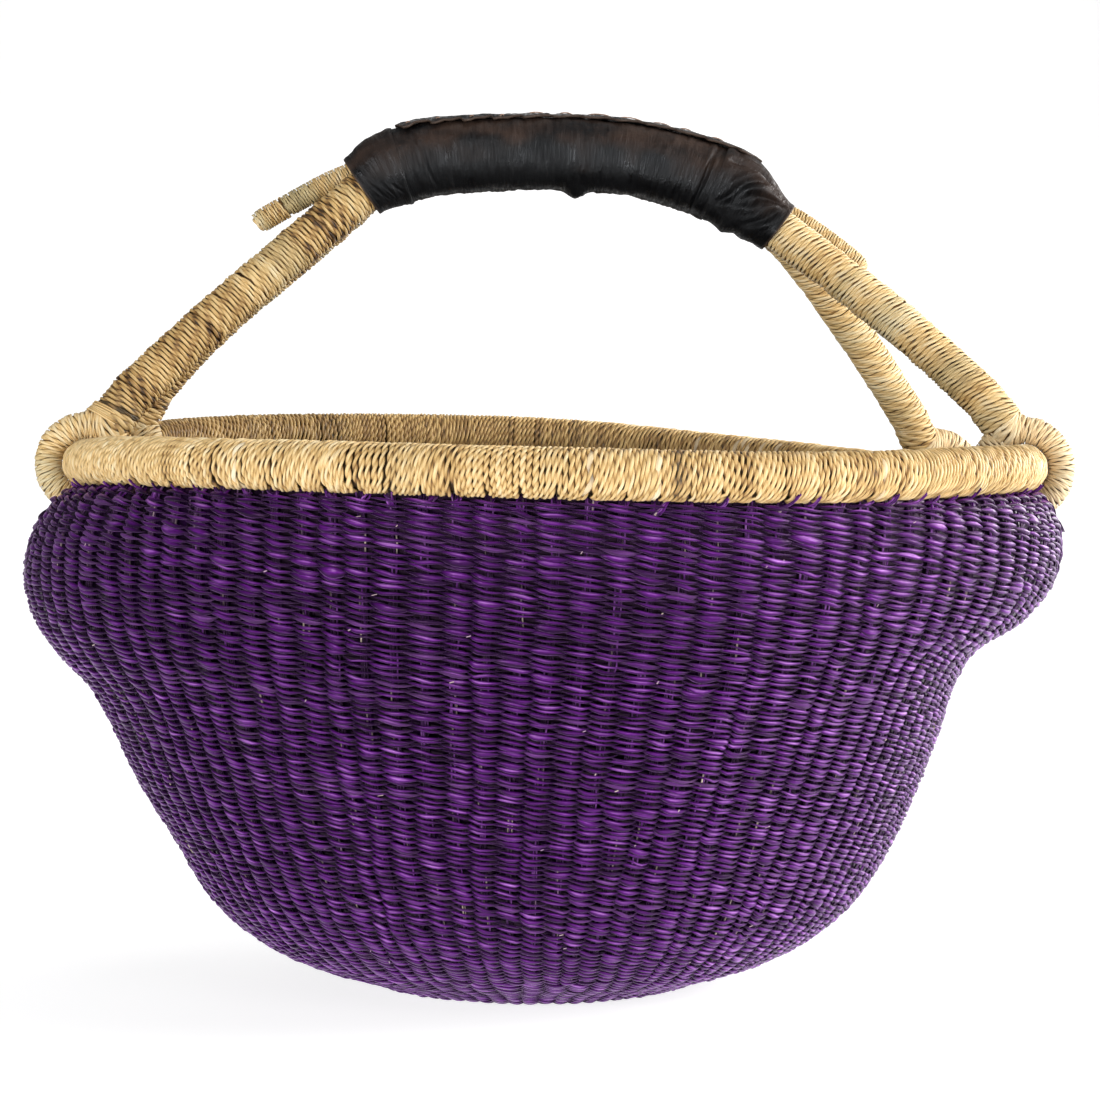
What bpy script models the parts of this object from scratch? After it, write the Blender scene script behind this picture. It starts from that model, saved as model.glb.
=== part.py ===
"""Bolga basket: a round woven market basket with a wrapped rim and a four-legged
rope handle under a leather grip.

Metres, +Z up.  The origin is the centre of the flat of the base, the handle
runs along X and the front of the basket faces -Y.

The body isn't a turned shape.  It swells into an "ear" under each end of the
handle, so its outer skin is worked out from three profiles (left ear, right
ear, front/back) that are blended round the basket, and its top edge follows
the uneven height of the rim.
"""

import math

import bmesh
import bpy
from mathutils import Vector

MM = 0.001

# ---------------------------------------------------------------- dimensions
# Body skin: height, then the reach from the base axis to the left, to the
# right and to the front or back, all in mm.
PROFILE = (
    (0.0, 64.0, 64.0, 64.0),
    (4.0, 74.5, 74.5, 74.5),
    (10.0, 93.5, 93.5, 93.5),
    (20.0, 111.5, 111.5, 111.0),
    (35.0, 127.0, 127.5, 126.5),
    (55.0, 139.0, 139.5, 138.5),
    (80.0, 154.0, 150.0, 151.0),
    (100.0, 163.0, 157.0, 160.0),
    (115.0, 171.0, 161.0, 166.0),
    (130.0, 184.5, 169.0, 171.0),
    (145.0, 193.5, 190.0, 174.5),
    (160.0, 196.5, 200.5, 177.0),
    (172.0, 194.8, 203.0, 178.8),
    (181.0, 191.0, 202.6, 180.0),
    (190.0, 185.2, 199.0, 180.6),
)
EAR_POWER = 4.0  # how tightly the ears keep to the ends of the handle
SKIN_T = 5.0  # thickness of the woven wall and base
AROUND = 48  # facets round the basket
WALL_FROM, WALL_TO = 10.4, 190.0
BASE_TO = 10.0

RIM_SHIFT = 8.0  # the rim sits this far to the right of the base
RIM_R = 179.4  # rim centre line
RIM_Z = 203.0
RIM_TUBE = 9.1  # outside of the straw wrapping
RIM_CORE = 6.2
RIM_GAP = 0.3
# uneven height of the rim, every 30 degrees from +X towards the back
RIM_WAVE = (-6.0, -13.5, -8.5, -0.6, 2.2, 1.6, -3.5, 0.5, 1.5, 0.0, -2.5, -3.0)

BORDER_T = 3.8  # turned-down stake ends between wall and rim
BORDER_LOW, BORDER_HIGH = 12.6, 6.7  # below the rim's centre line

# Handle
GRIP_Y = 27.5
# centre line of the leather grip (x, z) and its half height and half width
GRIP = (
    (-67.4, 306.0, 11.6, 18.4),
    (-58.8, 311.6, 14.4, 18.2),
    (-47.0, 315.6, 14.8, 17.8),
    (-33.3, 317.8, 14.4, 17.2),
    (-13.6, 318.8, 14.2, 16.8),
    (6.0, 318.8, 14.2, 16.8),
    (25.7, 318.0, 14.2, 16.8),
    (45.3, 315.1, 14.2, 17.0),
    (65.0, 309.6, 14.6, 17.6),
    (80.7, 302.4, 15.0, 18.2),
    (96.0, 291.0, 11.5, 18.4),
)
GRIP_SQUARE = 2.8  # 2 would be an ellipse
LEATHER = 1.5
CUFF_LEFT, CUFF_RIGHT = 18.0, 31.0  # lengths of the two end bindings
CORE_INSET = 14.0
CORE_GAP = 0.5
ARM_SPREAD = 9.0  # each pair of arms enters the grip this far either side
ARM_DROP = 2.2  # and this far below its centre line
SLEEVE_T = 0.75
ROPE_R = 5.0  # rope where it loops round the rim
CUFF_LEG_R, CUFF_LEG_GAP = 3.2, 3.5  # its two legs inside the leather
# the rope's path round the rim: outward, upward from the rim's centre
LOOP = (
    (0.2, 15.9),
    (5.0, 14.7),
    (9.6, 11.7),
    (13.3, 7.0),
    (15.0, 0.5),
    (14.5, -6.0),
    (11.3, -11.8),
    (6.2, -15.0),
    (0.0, -15.9),
    (-6.2, -15.1),
    (-11.4, -11.8),
    (-14.6, -6.0),
    (-15.2, 1.0),
    (-13.9, 7.2),
)
# handle feet: name, degrees round the rim, side of the grip (-1 left), row (-1 front),
# radius of the straw sleeve, how far the arm bows up, where along it the bow peaks, and
# where the sleeve ends, outward and upward from the rim's centre
FEET = (
    ("front_left", 184.8, -1, -1, 8.6, 1.8, 0.6, -7.6, 16.1),
    ("back_left", 165.6, -1, 1, 8.0, 4.0, 0.67, -8.6, 15.4),
    ("front_right", -4.8, 1, -1, 8.4, 2.8, 0.55, -6.2, 16.6),
    ("back_right", 28.5, 1, 1, 7.6, 3.0, 0.4, -8.6, 15.4),
)
SLOT_HALF = 6.7  # gaps left between stakes for the loops
SLOT_LOW, SLOT_HIGH = 25.6, 9.25

TAIL_R = 4.6
TAIL_LEFT = ((-72.8, 310.6), (-80.4, 307.4), (-88.0, 303.4), (-97.0, 298.5))
TAIL_CAP = ((-98.2, 297.8), (-103.0, 295.0), (-108.6, 291.6))
TAIL_RIGHT = ((101.8, 293.4), (109.0, 288.8), (118.8, 281.7), (125.5, 276.2), (128.6, 272.6))


# ------------------------------------------------------------------- helpers
def clear():
    for thing in list(bpy.data.objects):
        bpy.data.objects.remove(thing, do_unlink=True)


def material(name, colour, rough, metal=0.0):
    made = bpy.data.materials.new(name)
    made.use_nodes = True
    shader = made.node_tree.nodes["Principled BSDF"]
    shader.inputs["Base Color"].default_value = (*colour, 1.0)
    shader.inputs["Roughness"].default_value = rough
    shader.inputs["Metallic"].default_value = metal
    return made


def add(name, data, mat, parent=None):
    obj = bpy.data.objects.new(name, data)
    bpy.context.scene.collection.objects.link(obj)
    data.materials.append(mat)
    if parent:
        # the piece keeps its place in the world under a parent that has moved
        bpy.context.view_layer.update()
        obj.parent = parent
        obj.matrix_parent_inverse = parent.matrix_world.inverted()
    return obj


def loft(name, rings, closed_path):
    """A mesh through rings of points.  An open run of rings gets flat caps."""
    bm = bmesh.new()
    rows = [[bm.verts.new(p) for p in ring] for ring in rings]
    n = len(rows[0])
    pairs = list(zip(rows, rows[1:]))
    if closed_path:
        pairs.append((rows[-1], rows[0]))
    for a, b in pairs:
        for i in range(n):
            j = (i + 1) % n
            bm.faces.new((a[i], a[j], b[j], b[i]))
    if not closed_path:
        bm.faces.new(list(reversed(rows[0])))
        bm.faces.new(rows[-1])
    bmesh.ops.recalc_face_normals(bm, faces=bm.faces)
    mesh = bpy.data.meshes.new(name)
    bm.to_mesh(mesh)
    bm.free()
    mesh.shade_smooth()
    mesh.set_sharp_from_angle(angle=math.radians(50))
    return mesh


def pchip(xs, ys, x):
    """Monotone cubic through the points, so a profile never overshoots."""
    n = len(xs)
    h = [xs[i + 1] - xs[i] for i in range(n - 1)]
    d = [(ys[i + 1] - ys[i]) / h[i] for i in range(n - 1)]
    m = [d[0]] + [0.0] * (n - 2) + [d[-1]]
    for i in range(1, n - 1):
        if d[i - 1] * d[i] > 0:
            w1, w2 = 2 * h[i] + h[i - 1], h[i] + 2 * h[i - 1]
            m[i] = (w1 + w2) / (w1 / d[i - 1] + w2 / d[i])
    k = max(0, min(n - 2, sum(1 for v in xs[1:-1] if x >= v)))
    t = (x - xs[k]) / h[k]
    return (
        ys[k] * (1 + 2 * t) * (1 - t) ** 2
        + m[k] * h[k] * t * (1 - t) ** 2
        + ys[k + 1] * t * t * (3 - 2 * t)
        + m[k + 1] * h[k] * t * t * (t - 1)
    )


def smooth(t):
    t = max(0.0, min(1.0, t))
    return t * t * (3 - 2 * t)


def wave(angle):
    """Height of the rim at this angle against RIM_Z, a periodic cubic."""
    n = len(RIM_WAVE)
    at = (angle / (2 * math.pi) * n) % n
    k = int(at)
    t = at - k
    p = [RIM_WAVE[(k + i) % n] for i in (-1, 0, 1, 2)]
    return 0.5 * (
        2 * p[1]
        + (p[2] - p[0]) * t
        + (2 * p[0] - 5 * p[1] + 4 * p[2] - p[3]) * t * t
        + (3 * p[1] - p[0] - 3 * p[2] + p[3]) * t**3
    )


def skin_centre(z):
    return RIM_SHIFT * smooth((z - 40.0) / (WALL_TO - 40.0))


def reach(angle, z):
    """Distance from the body's axis to its skin at this angle and height."""
    zs = [row[0] for row in PROFILE]
    side = 1 if math.cos(angle) < 0 else 2
    shift = skin_centre(z)
    ear = pchip(zs, [row[side] for row in PROFILE], z)
    ear += shift if side == 1 else -shift
    front = pchip(zs, [row[3] for row in PROFILE], z)
    w = abs(math.cos(angle)) ** EAR_POWER
    return front * (1 - w) + ear * w


def skin(angle, z, depth=0.0):
    """A point on the body, this far in from its outer skin."""
    r = reach(angle, z)
    if depth:
        e = 0.8
        lo, hi = max(0.0, z - e), min(WALL_TO, z + e)
        dr = reach(angle, hi) - reach(angle, lo)
        dz = hi - lo
        size = math.hypot(dr, dz)
        r -= depth * dz / size
        z = z + depth * dr / size
    lift = wave(angle) * smooth((z - 60.0) / (WALL_TO - 60.0))
    return Vector(
        (
            (skin_centre(min(z, WALL_TO)) + r * math.cos(angle)) * MM,
            r * math.sin(angle) * MM,
            (z + lift) * MM,
        )
    )


def rim_point(angle, out=0.0, up=0.0):
    r = RIM_R + out
    return Vector(
        (
            (RIM_SHIFT + r * math.cos(angle)) * MM,
            r * math.sin(angle) * MM,
            (RIM_Z + wave(angle) + up) * MM,
        )
    )


def steps(lo, hi, n):
    return [lo + (hi - lo) * i / (n - 1) for i in range(n)]


AZIMUTHS = [2 * math.pi * (i + 0.5) / AROUND for i in range(AROUND)]


# ---------------------------------------------------------------- the basket
def make_base(mat):
    """A shallow dish with a flat underside, where the twining starts."""
    heights = (0.0, 4.0, 7.0, BASE_TO)
    zs, front = [row[0] for row in PROFILE], [row[3] for row in PROFILE]
    outer = [(pchip(zs, front, h), h) for h in heights]
    inner = []
    for i in range(len(outer) - 1, -1, -1):
        a = outer[max(0, i - 1)]
        b = outer[min(len(outer) - 1, i + 1)]
        dr, dz = b[0] - a[0], b[1] - a[1]
        if i == 0:
            dr, dz = 1.0, 0.1
        size = math.hypot(dr, dz)
        inner.append((outer[i][0] - SKIN_T * dz / size, outer[i][1] + SKIN_T * dr / size))
    bm = bmesh.new()
    rings = []
    for r, z in outer + inner:
        rings.append([bm.verts.new((r * MM * math.cos(a), r * MM * math.sin(a), z * MM)) for a in AZIMUTHS])
    low = bm.verts.new((0, 0, 0))
    top = bm.verts.new((0, 0, SKIN_T * MM))
    for a, b in zip(rings, rings[1:]):
        for i in range(AROUND):
            j = (i + 1) % AROUND
            bm.faces.new((a[i], a[j], b[j], b[i]))
    for i in range(AROUND):
        j = (i + 1) % AROUND
        bm.faces.new((low, rings[0][j], rings[0][i]))
        bm.faces.new((top, rings[-1][i], rings[-1][j]))
    bmesh.ops.recalc_face_normals(bm, faces=bm.faces)
    mesh = bpy.data.meshes.new("base_weave")
    bm.to_mesh(mesh)
    bm.free()
    mesh.shade_smooth()
    mesh.set_sharp_from_angle(angle=math.radians(50))
    return add("base_weave", mesh, mat)


def make_wall(mat):
    heights = (WALL_FROM, 20.0, 35.0, 55.0, 80.0, 103.0, 120.0, 131.0, 144.0, 158.0, 171.0, 181.0, WALL_TO)
    inner = (WALL_TO, 181.0, 168.0, 150.0, 134.0, 116.0, 80.0, 50.0, 32.0, 19.0, WALL_FROM)
    rings = []
    for angle in AZIMUTHS:
        ring = [skin(angle, z) for z in heights]
        for z in inner:
            p = skin(angle, z, SKIN_T)
            if z == WALL_TO:
                # the top edge is level
                top = skin(angle, WALL_TO)
                p = top - Vector((math.cos(angle), math.sin(angle), 0)) * (SKIN_T * MM)
            ring.append(p)
        rings.append(ring)
    return add("wall_weave", loft("wall_weave", rings, True), mat)


def make_border(mat):
    """Ring of turned-down stake ends.  Its foot stands on the edge of the wall,
    which lies further out at the ears, and its top is held in the rim."""
    rings = []
    for angle in AZIMUTHS:
        half = BORDER_T / 2
        edge = reach(angle, WALL_TO) - RIM_R
        lean = max(0.0, edge - half)
        rings.append(
            [
                rim_point(angle, edge, -BORDER_LOW),
                rim_point(angle, half + 0.6 * lean, -10.0 - 0.3 * (lean > 1)),
                rim_point(angle, half, -9.5),
                rim_point(angle, half, -BORDER_HIGH),
                rim_point(angle, -half, -BORDER_HIGH),
                rim_point(angle, -half, -10.9),
                rim_point(angle, edge - 4.2, -BORDER_LOW),
            ]
        )
    return add("stake_border", loft("stake_border", rings, True), mat)


def make_rim_core(mat):
    rings = []
    for angle in AZIMUTHS:
        rings.append(
            [
                rim_point(angle, RIM_CORE * math.cos(t), RIM_CORE * math.sin(t))
                for t in [math.pi * 2 * (k + 0.5) / 8 for k in range(8)]
            ]
        )
    return add("rim_core", loft("rim_core", rings, True), mat)


def make_rim_wrap(mat):
    """The straw winding: a tube that is open below, where the stakes come up into it."""
    half_gap = BORDER_T / 2 + 0.4
    # the flats of the inner facets, not their corners, clear the core
    inner_r = (RIM_CORE + RIM_GAP) / math.cos(math.radians(19.0))
    a0 = math.asin(half_gap / RIM_TUBE)
    a1 = math.asin(half_gap / inner_r)
    rings = []
    for angle in AZIMUTHS:
        ring = []
        for t in steps(-math.pi / 2 + a0, 1.5 * math.pi - a0, 11):
            ring.append(rim_point(angle, RIM_TUBE * math.cos(t), RIM_TUBE * math.sin(t)))
        for t in steps(1.5 * math.pi - a1, -math.pi / 2 + a1, 9):
            ring.append(rim_point(angle, inner_r * math.cos(t), inner_r * math.sin(t)))
        rings.append(ring)
    return add("rim_wrap", loft("rim_wrap", rings, True), mat)


def cut_slots(targets):
    """The loops of the handle pass between the stakes just under the rim."""
    for name, degrees in [foot[:2] for foot in FEET]:
        angle = math.radians(degrees)
        mesh = bpy.data.meshes.new("slot_" + name)
        bm = bmesh.new()
        bmesh.ops.create_cube(bm, size=1.0)
        tall = SLOT_LOW - SLOT_HIGH
        bmesh.ops.scale(bm, vec=(60 * MM, 2 * SLOT_HALF * MM, tall * MM), verts=bm.verts)
        bm.to_mesh(mesh)
        bm.free()
        cutter = bpy.data.objects.new("slot_" + name, mesh)
        bpy.context.scene.collection.objects.link(cutter)
        cutter.location = rim_point(angle, 0.0, -(SLOT_LOW + SLOT_HIGH) / 2)
        cutter.rotation_euler = (0, 0, angle)
        cutter.hide_render = True
        cutter.display_type = "WIRE"
        for target in targets:
            cut = target.modifiers.new("slot_" + name, "BOOLEAN")
            cut.operation = "DIFFERENCE"
            cut.object = cutter


# ---------------------------------------------------------------- the handle
def grip_at(s):
    """Centre, tangent, half height and half width at s mm along the grip."""
    lengths = [0.0]
    for a, b in zip(GRIP, GRIP[1:]):
        lengths.append(lengths[-1] + math.hypot(b[0] - a[0], b[1] - a[1]))
    s = max(0.0, min(lengths[-1], s))

    def value(k, at):
        return cubic(lengths, [g[k] for g in GRIP], at)

    e = 1.0
    lo, hi = max(0.0, s - e), min(lengths[-1], s + e)
    tangent = Vector((value(0, hi) - value(0, lo), 0, value(1, hi) - value(1, lo))).normalized()
    centre = Vector((value(0, s), GRIP_Y, value(1, s)))
    return centre, tangent, value(2, s), value(3, s), lengths[-1]


def cubic(xs, ys, x):
    """Smooth curve through the points, by the slopes of their neighbours."""
    n = len(xs)
    k = max(0, min(n - 2, sum(1 for v in xs[1:-1] if x >= v)))
    h = xs[k + 1] - xs[k]
    t = (x - xs[k]) / h

    def slope(i):
        a, b = max(0, i - 1), min(n - 1, i + 1)
        return (ys[b] - ys[a]) / (xs[b] - xs[a])

    m0, m1 = slope(k) * h, slope(k + 1) * h
    return (
        ys[k] * (1 + 2 * t) * (1 - t) ** 2
        + m0 * t * (1 - t) ** 2
        + ys[k + 1] * t * t * (3 - 2 * t)
        + m1 * t * t * (t - 1)
    )


def grip_ring(s, inset, n):
    centre, tangent, a, b, _ = grip_at(s)
    up = Vector((-tangent.z, 0, tangent.x))
    ring = []
    for t in [2 * math.pi * k / n for k in range(n)]:
        # squarer than an ellipse, as leather pulled round two ropes is
        c, q = (math.copysign(abs(v) ** (2 / GRIP_SQUARE), v) for v in (math.cos(t), math.sin(t)))
        ring.append((centre + up * ((a - inset) * c) + Vector((0, 1, 0)) * ((b - inset) * q)) * MM)
    return ring


def tube_shell(name, s0, s1, count, n, mat, parent):
    """A leather tube along the grip, open at both ends."""
    outer = [grip_ring(s, 0.0, n) for s in steps(s0, s1, count)]
    inner = [grip_ring(s, LEATHER, n) for s in steps(s1, s0, count)]
    return add(name, loft(name, outer + inner, True), mat, parent)


def arc_strip(name, s0, s1, count, low, high, half_deg, n, mat, parent):
    """A strip along the crest of the grip, bent to its round."""
    rings = []
    for s in steps(s0, s1, count):
        centre, tangent, a, b, _ = grip_at(s)
        up = Vector((-tangent.z, 0, tangent.x))
        ring = []
        for t in steps(-half_deg, half_deg, n):
            t = math.radians(t)
            ring.append((centre + up * ((a + high) * math.cos(t)) + Vector((0, 1, 0)) * ((b + high) * math.sin(t))) * MM)
        for t in steps(half_deg, -half_deg, n):
            t = math.radians(t)
            ring.append((centre + up * ((a + low) * math.cos(t)) + Vector((0, 1, 0)) * ((b + low) * math.sin(t))) * MM)
        rings.append(ring)
    return add(name, loft(name, rings, False), mat, parent)


def arm_line(foot):
    """The arm's bowed axis in mm as a function of 0 to 1, and the grip's inward direction."""
    _, degrees, side, row, _, bow, peak, out, high_by = foot
    angle = math.radians(degrees)
    low = rim_point(angle, out, high_by) / MM
    length = grip_at(0.0)[4]
    centre, tangent, _, _, _ = grip_at(0.0 if side < 0 else length)
    up = Vector((-tangent.z, 0, tangent.x))
    high = centre + Vector((0, ARM_SPREAD * row, 0)) - up * ARM_DROP
    run = (low - high).normalized()
    lift = (Vector((0, 0, 1)) - run * run.z).normalized()
    power = peak / (1.0 - peak)
    top = peak**power * (1.0 - peak)

    def at(t):
        return high.lerp(low, t) + lift * (bow * t**power * (1.0 - t) / top)

    def along(t):
        a, b = max(0.0, t - 0.02), min(1.0, t + 0.02)
        return (at(b) - at(a)).normalized()

    return at, along, (tangent if side < 0 else -tangent), angle, (low - high).length


def legs_of(foot):
    """Radius of the rope's two legs inside the sleeve, and how far each lies from the axis."""
    room = foot[4] - SLEEVE_T - 0.5
    r = (room - 0.25) / 2
    return r, r + 0.25


def rope_points(foot):
    """The rope's route: out of the grip, down the arm, round the rim and back."""
    at, along, inward, angle, _ = arm_line(foot)
    leg_r, leg_gap = legs_of(foot)
    apart_grip = Vector((-inward.z, 0, inward.x))
    if apart_grip.z < 0:
        apart_grip = -apart_grip
    side, row = foot[2], foot[3]
    length = grip_at(0.0)[4]
    leg = []
    for sign in (1, -1):
        points = []
        for depth, spread, drop in ((11.5, 8.3, 0.2), (5.0, 8.5, 0.6)):
            c = grip_at(depth if side < 0 else length - depth)[0]
            c = c + Vector((0, spread * row, 0)) + apart_grip * (CUFF_LEG_GAP * sign - drop)
            points.append((c, CUFF_LEG_R))
        # the two legs lie one above the other, in the plane of the loop
        for t in (0.01, 0.035, 0.22, 0.4, 0.6, 0.8, 0.95, 1.0):
            axis = along(t)
            apart = (Vector((0, 0, 1)) - axis * axis.z).normalized()
            points.append((at(t) + apart * (leg_gap * sign), min(leg_r, CUFF_LEG_R) if t < 0.04 else leg_r))
        leg.append(points)
    loop = []
    for k, (u, v) in enumerate(LOOP):
        edge = min(k, len(LOOP) - 1 - k)
        loop.append((rim_point(angle, u, v) / MM, ROPE_R if edge > 0 else 4.4))
    return leg[0] + loop + leg[1][::-1]


def smooth_route(points, every):
    """Points every few mm on a smooth curve through the route's own points."""
    pts = [p for p, _ in points]
    rad = [r for _, r in points]
    at = [0.0]
    for a, b in zip(pts, pts[1:]):
        at.append(at[-1] + (b - a).length)
    stations = []
    for k in range(len(pts) - 1):
        gap = at[k + 1] - at[k]
        n = max(1, round(gap / every(k)))
        stations += [at[k] + gap * i / n for i in range(n)]
    stations.append(at[-1])
    made = []
    for s in stations:
        p = Vector([cubic(at, [q[c] for q in pts], s) for c in range(3)])
        k = max(0, min(len(at) - 2, sum(1 for v in at[1:-1] if s >= v)))
        t = (s - at[k]) / (at[k + 1] - at[k])
        made.append((p, rad[k] * (1 - t) + rad[k + 1] * t))
    return made


def tube(name, points, mat, parent, resolution=2):
    data = bpy.data.curves.new(name, "CURVE")
    data.dimensions = "3D"
    data.bevel_depth = MM
    data.bevel_resolution = resolution
    data.use_fill_caps = True
    spline = data.splines.new("POLY")
    spline.points.add(len(points) - 1)
    for point, (p, r) in zip(spline.points, points):
        point.co = (p.x * MM, p.y * MM, p.z * MM, 1.0)
        point.radius = r
    spline.use_smooth = True
    return add(name, data, mat, parent)


def make_rope(foot, mat, parent):
    route = rope_points(foot)
    legs = 10  # points on each leg before the loop

    def every(k):
        straight = k < legs - 1 or k >= len(route) - legs
        return 40.0 if straight else 7.5

    return tube("rope_" + foot[0], smooth_route(route, every), mat, parent)


def make_sleeve(foot, mat, parent):
    """Straw wound round both legs of a rope, from the grip to just above the rim."""
    at, along, inward, _, long = arm_line(foot)
    radius = foot[4]
    n = 12

    def ring(t, r):
        axis = along(t)
        up = (Vector((0, 0, 1)) - axis * axis.z).normalized()
        across = axis.cross(up)
        return [(at(t) + (up * math.cos(a) + across * math.sin(a)) * r) * MM for a in [2 * math.pi * k / n for k in range(n)]]

    # far enough down that its slanted end clears the face of the cuff
    tilt = math.sqrt(max(0.0, 1.0 - along(0.03).dot(inward) ** 2))
    stations = steps(max(0.032, (radius * tilt + 1.2) / long), 1.0 - 2.5 / long, 7)
    outer = [ring(t, radius) for t in stations]
    inner = [ring(t, radius - SLEEVE_T) for t in reversed(stations)]
    name = "arm_wrap_" + foot[0]
    return add(name, loft(name, outer + inner, True), mat, parent)


def make_tail(name, line, mat, parent, y):
    points = [(Vector((x, y, z)), TAIL_R) for x, z in line]
    return tube(name, smooth_route(points, lambda k: 9.0), mat, parent)


def main():
    clear()
    weave = material("woven_elephant_grass", (0.085, 0.028, 0.150), 0.62)
    base = material("woven_base", (0.075, 0.025, 0.135), 0.65)
    straw = material("natural_straw", (0.62, 0.43, 0.22), 0.58)
    stake = material("stake_straw", (0.36, 0.22, 0.30), 0.7)
    core = material("rim_bundle", (0.50, 0.35, 0.18), 0.75)
    rope = material("straw_rope", (0.60, 0.42, 0.22), 0.6)
    leather = material("black_leather", (0.018, 0.014, 0.013), 0.42)
    thong = material("hide_thong", (0.20, 0.12, 0.07), 0.6)

    basket = bpy.data.objects.new("basket", None)
    bpy.context.scene.collection.objects.link(basket)
    handle = bpy.data.objects.new("handle", None)
    bpy.context.scene.collection.objects.link(handle)
    handle.location = (RIM_SHIFT * MM, 33.0 * MM, 200.0 * MM)  # on the rocking axis
    bpy.context.view_layer.update()

    make_base(base).parent = basket
    wall = make_wall(weave)
    border = make_border(stake)
    cut_slots((wall, border))
    rim_core = make_rim_core(core)
    rim_wrap = make_rim_wrap(straw)
    for obj in (wall, border, rim_core, rim_wrap):
        obj.parent = basket

    for foot in FEET:
        make_rope(foot, rope, handle)
        make_sleeve(foot, straw, handle)

    long = grip_at(0.0)[4]
    n = 16
    tube_shell("cuff_left", 0.0, CUFF_LEFT, 4, n, leather, handle)
    tube_shell("grip_cover", CUFF_LEFT + 0.4, long - CUFF_RIGHT - 0.4, 10, n, leather, handle)
    tube_shell("cuff_right", long - CUFF_RIGHT, long, 5, n, leather, handle)
    inset = LEATHER + CORE_GAP
    rings = [grip_ring(s, inset, 12) for s in steps(CORE_INSET, long - CORE_INSET, 10)]
    add("grip_core", loft("grip_core", rings, False), core, handle)
    s0, s1 = CUFF_LEFT + 2.0, long - CUFF_RIGHT - 2.0
    arc_strip("seam_flap", s0, s1, 10, 0.3, 1.0, 12.0, 4, leather, handle)
    arc_strip("seam_lacing", s0 + 2.0, s1 - 2.0, 10, 1.35, 1.95, 4.0, 2, thong, handle)

    make_tail("tail_left", TAIL_LEFT, rope, handle, GRIP_Y)
    make_tail("tail_cap_left", TAIL_CAP, straw, handle, GRIP_Y)
    make_tail("tail_right", TAIL_RIGHT, rope, handle, GRIP_Y + 1.5)


main()
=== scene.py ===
"""Looks of the woven basket: every weaver, stake and turn of straw is a real strand,
built in numpy along the same curves as the solids, plus the sewn leather grip.

Metres, +Z up, the front of the basket faces -Y.  Lengths in the tables are in mm.
"""

import math

import bpy
import numpy as np
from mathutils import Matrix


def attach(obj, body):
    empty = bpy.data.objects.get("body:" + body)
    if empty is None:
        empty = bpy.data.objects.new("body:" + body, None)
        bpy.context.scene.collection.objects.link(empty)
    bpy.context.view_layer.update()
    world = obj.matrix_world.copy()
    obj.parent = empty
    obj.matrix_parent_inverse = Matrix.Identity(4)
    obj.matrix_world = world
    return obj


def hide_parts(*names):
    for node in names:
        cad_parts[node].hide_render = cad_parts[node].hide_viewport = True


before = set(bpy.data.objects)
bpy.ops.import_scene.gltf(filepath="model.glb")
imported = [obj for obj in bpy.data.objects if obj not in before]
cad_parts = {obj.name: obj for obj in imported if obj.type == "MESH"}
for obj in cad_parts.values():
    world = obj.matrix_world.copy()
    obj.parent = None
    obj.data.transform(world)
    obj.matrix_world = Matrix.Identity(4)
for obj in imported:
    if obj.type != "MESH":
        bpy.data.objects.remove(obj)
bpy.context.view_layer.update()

MM = 0.001
PI = math.pi
scene = bpy.context.scene

# ------------------------------------------------------------------ dimensions
PROFILE = (
    (0.0, 64.0, 64.0, 64.0),
    (4.0, 74.5, 74.5, 74.5),
    (10.0, 93.5, 93.5, 93.5),
    (20.0, 111.5, 111.5, 111.0),
    (35.0, 127.0, 127.5, 126.5),
    (55.0, 139.0, 139.5, 138.5),
    (80.0, 154.0, 150.0, 151.0),
    (100.0, 163.0, 157.0, 160.0),
    (115.0, 171.0, 161.0, 166.0),
    (130.0, 184.5, 169.0, 171.0),
    (145.0, 193.5, 190.0, 174.5),
    (160.0, 196.5, 200.5, 177.0),
    (172.0, 194.8, 203.0, 178.8),
    (181.0, 191.0, 202.6, 180.0),
    (190.0, 185.2, 199.0, 180.6),
)
EAR_POWER = 4.0
WALL_TO = 190.0
RIM_SHIFT, RIM_R, RIM_Z, RIM_TUBE = 8.0, 179.4, 203.0, 9.1
RIM_WAVE = (-6.0, -13.5, -8.5, -0.6, 2.2, 1.6, -3.5, 0.5, 1.5, 0.0, -2.5, -3.0)
GRIP_Y = 27.5
GRIP = (
    (-67.4, 306.0, 11.6, 18.4),
    (-58.8, 311.6, 14.4, 18.2),
    (-47.0, 315.6, 14.8, 17.8),
    (-33.3, 317.8, 14.4, 17.2),
    (-13.6, 318.8, 14.2, 16.8),
    (6.0, 318.8, 14.2, 16.8),
    (25.7, 318.0, 14.2, 16.8),
    (45.3, 315.1, 14.2, 17.0),
    (65.0, 309.6, 14.6, 17.6),
    (80.7, 302.4, 15.0, 18.2),
    (96.0, 291.0, 11.5, 18.4),
)
GRIP_SQUARE = 2.8
CUFF_LEFT, CUFF_RIGHT = 18.0, 31.0
ARM_SPREAD, ARM_DROP = 9.0, 2.2
SLEEVE_T = 0.75
ROPE_R = 5.0
LOOP = (
    (0.2, 15.9),
    (5.0, 14.7),
    (9.6, 11.7),
    (13.3, 7.0),
    (15.0, 0.5),
    (14.5, -6.0),
    (11.3, -11.8),
    (6.2, -15.0),
    (0.0, -15.9),
    (-6.2, -15.1),
    (-11.4, -11.8),
    (-14.6, -6.0),
    (-15.2, 1.0),
    (-13.9, 7.2),
)
FEET = (
    ("front_left", 184.8, -1, -1, 8.6, 1.8, 0.6, -7.6, 16.1),
    ("back_left", 165.6, -1, 1, 8.0, 4.0, 0.67, -8.6, 15.4),
    ("front_right", -4.8, 1, -1, 8.4, 2.8, 0.55, -6.2, 16.6),
    ("back_right", 28.5, 1, 1, 7.6, 3.0, 0.4, -8.6, 15.4),
)
TAIL_R = 4.6
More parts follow.
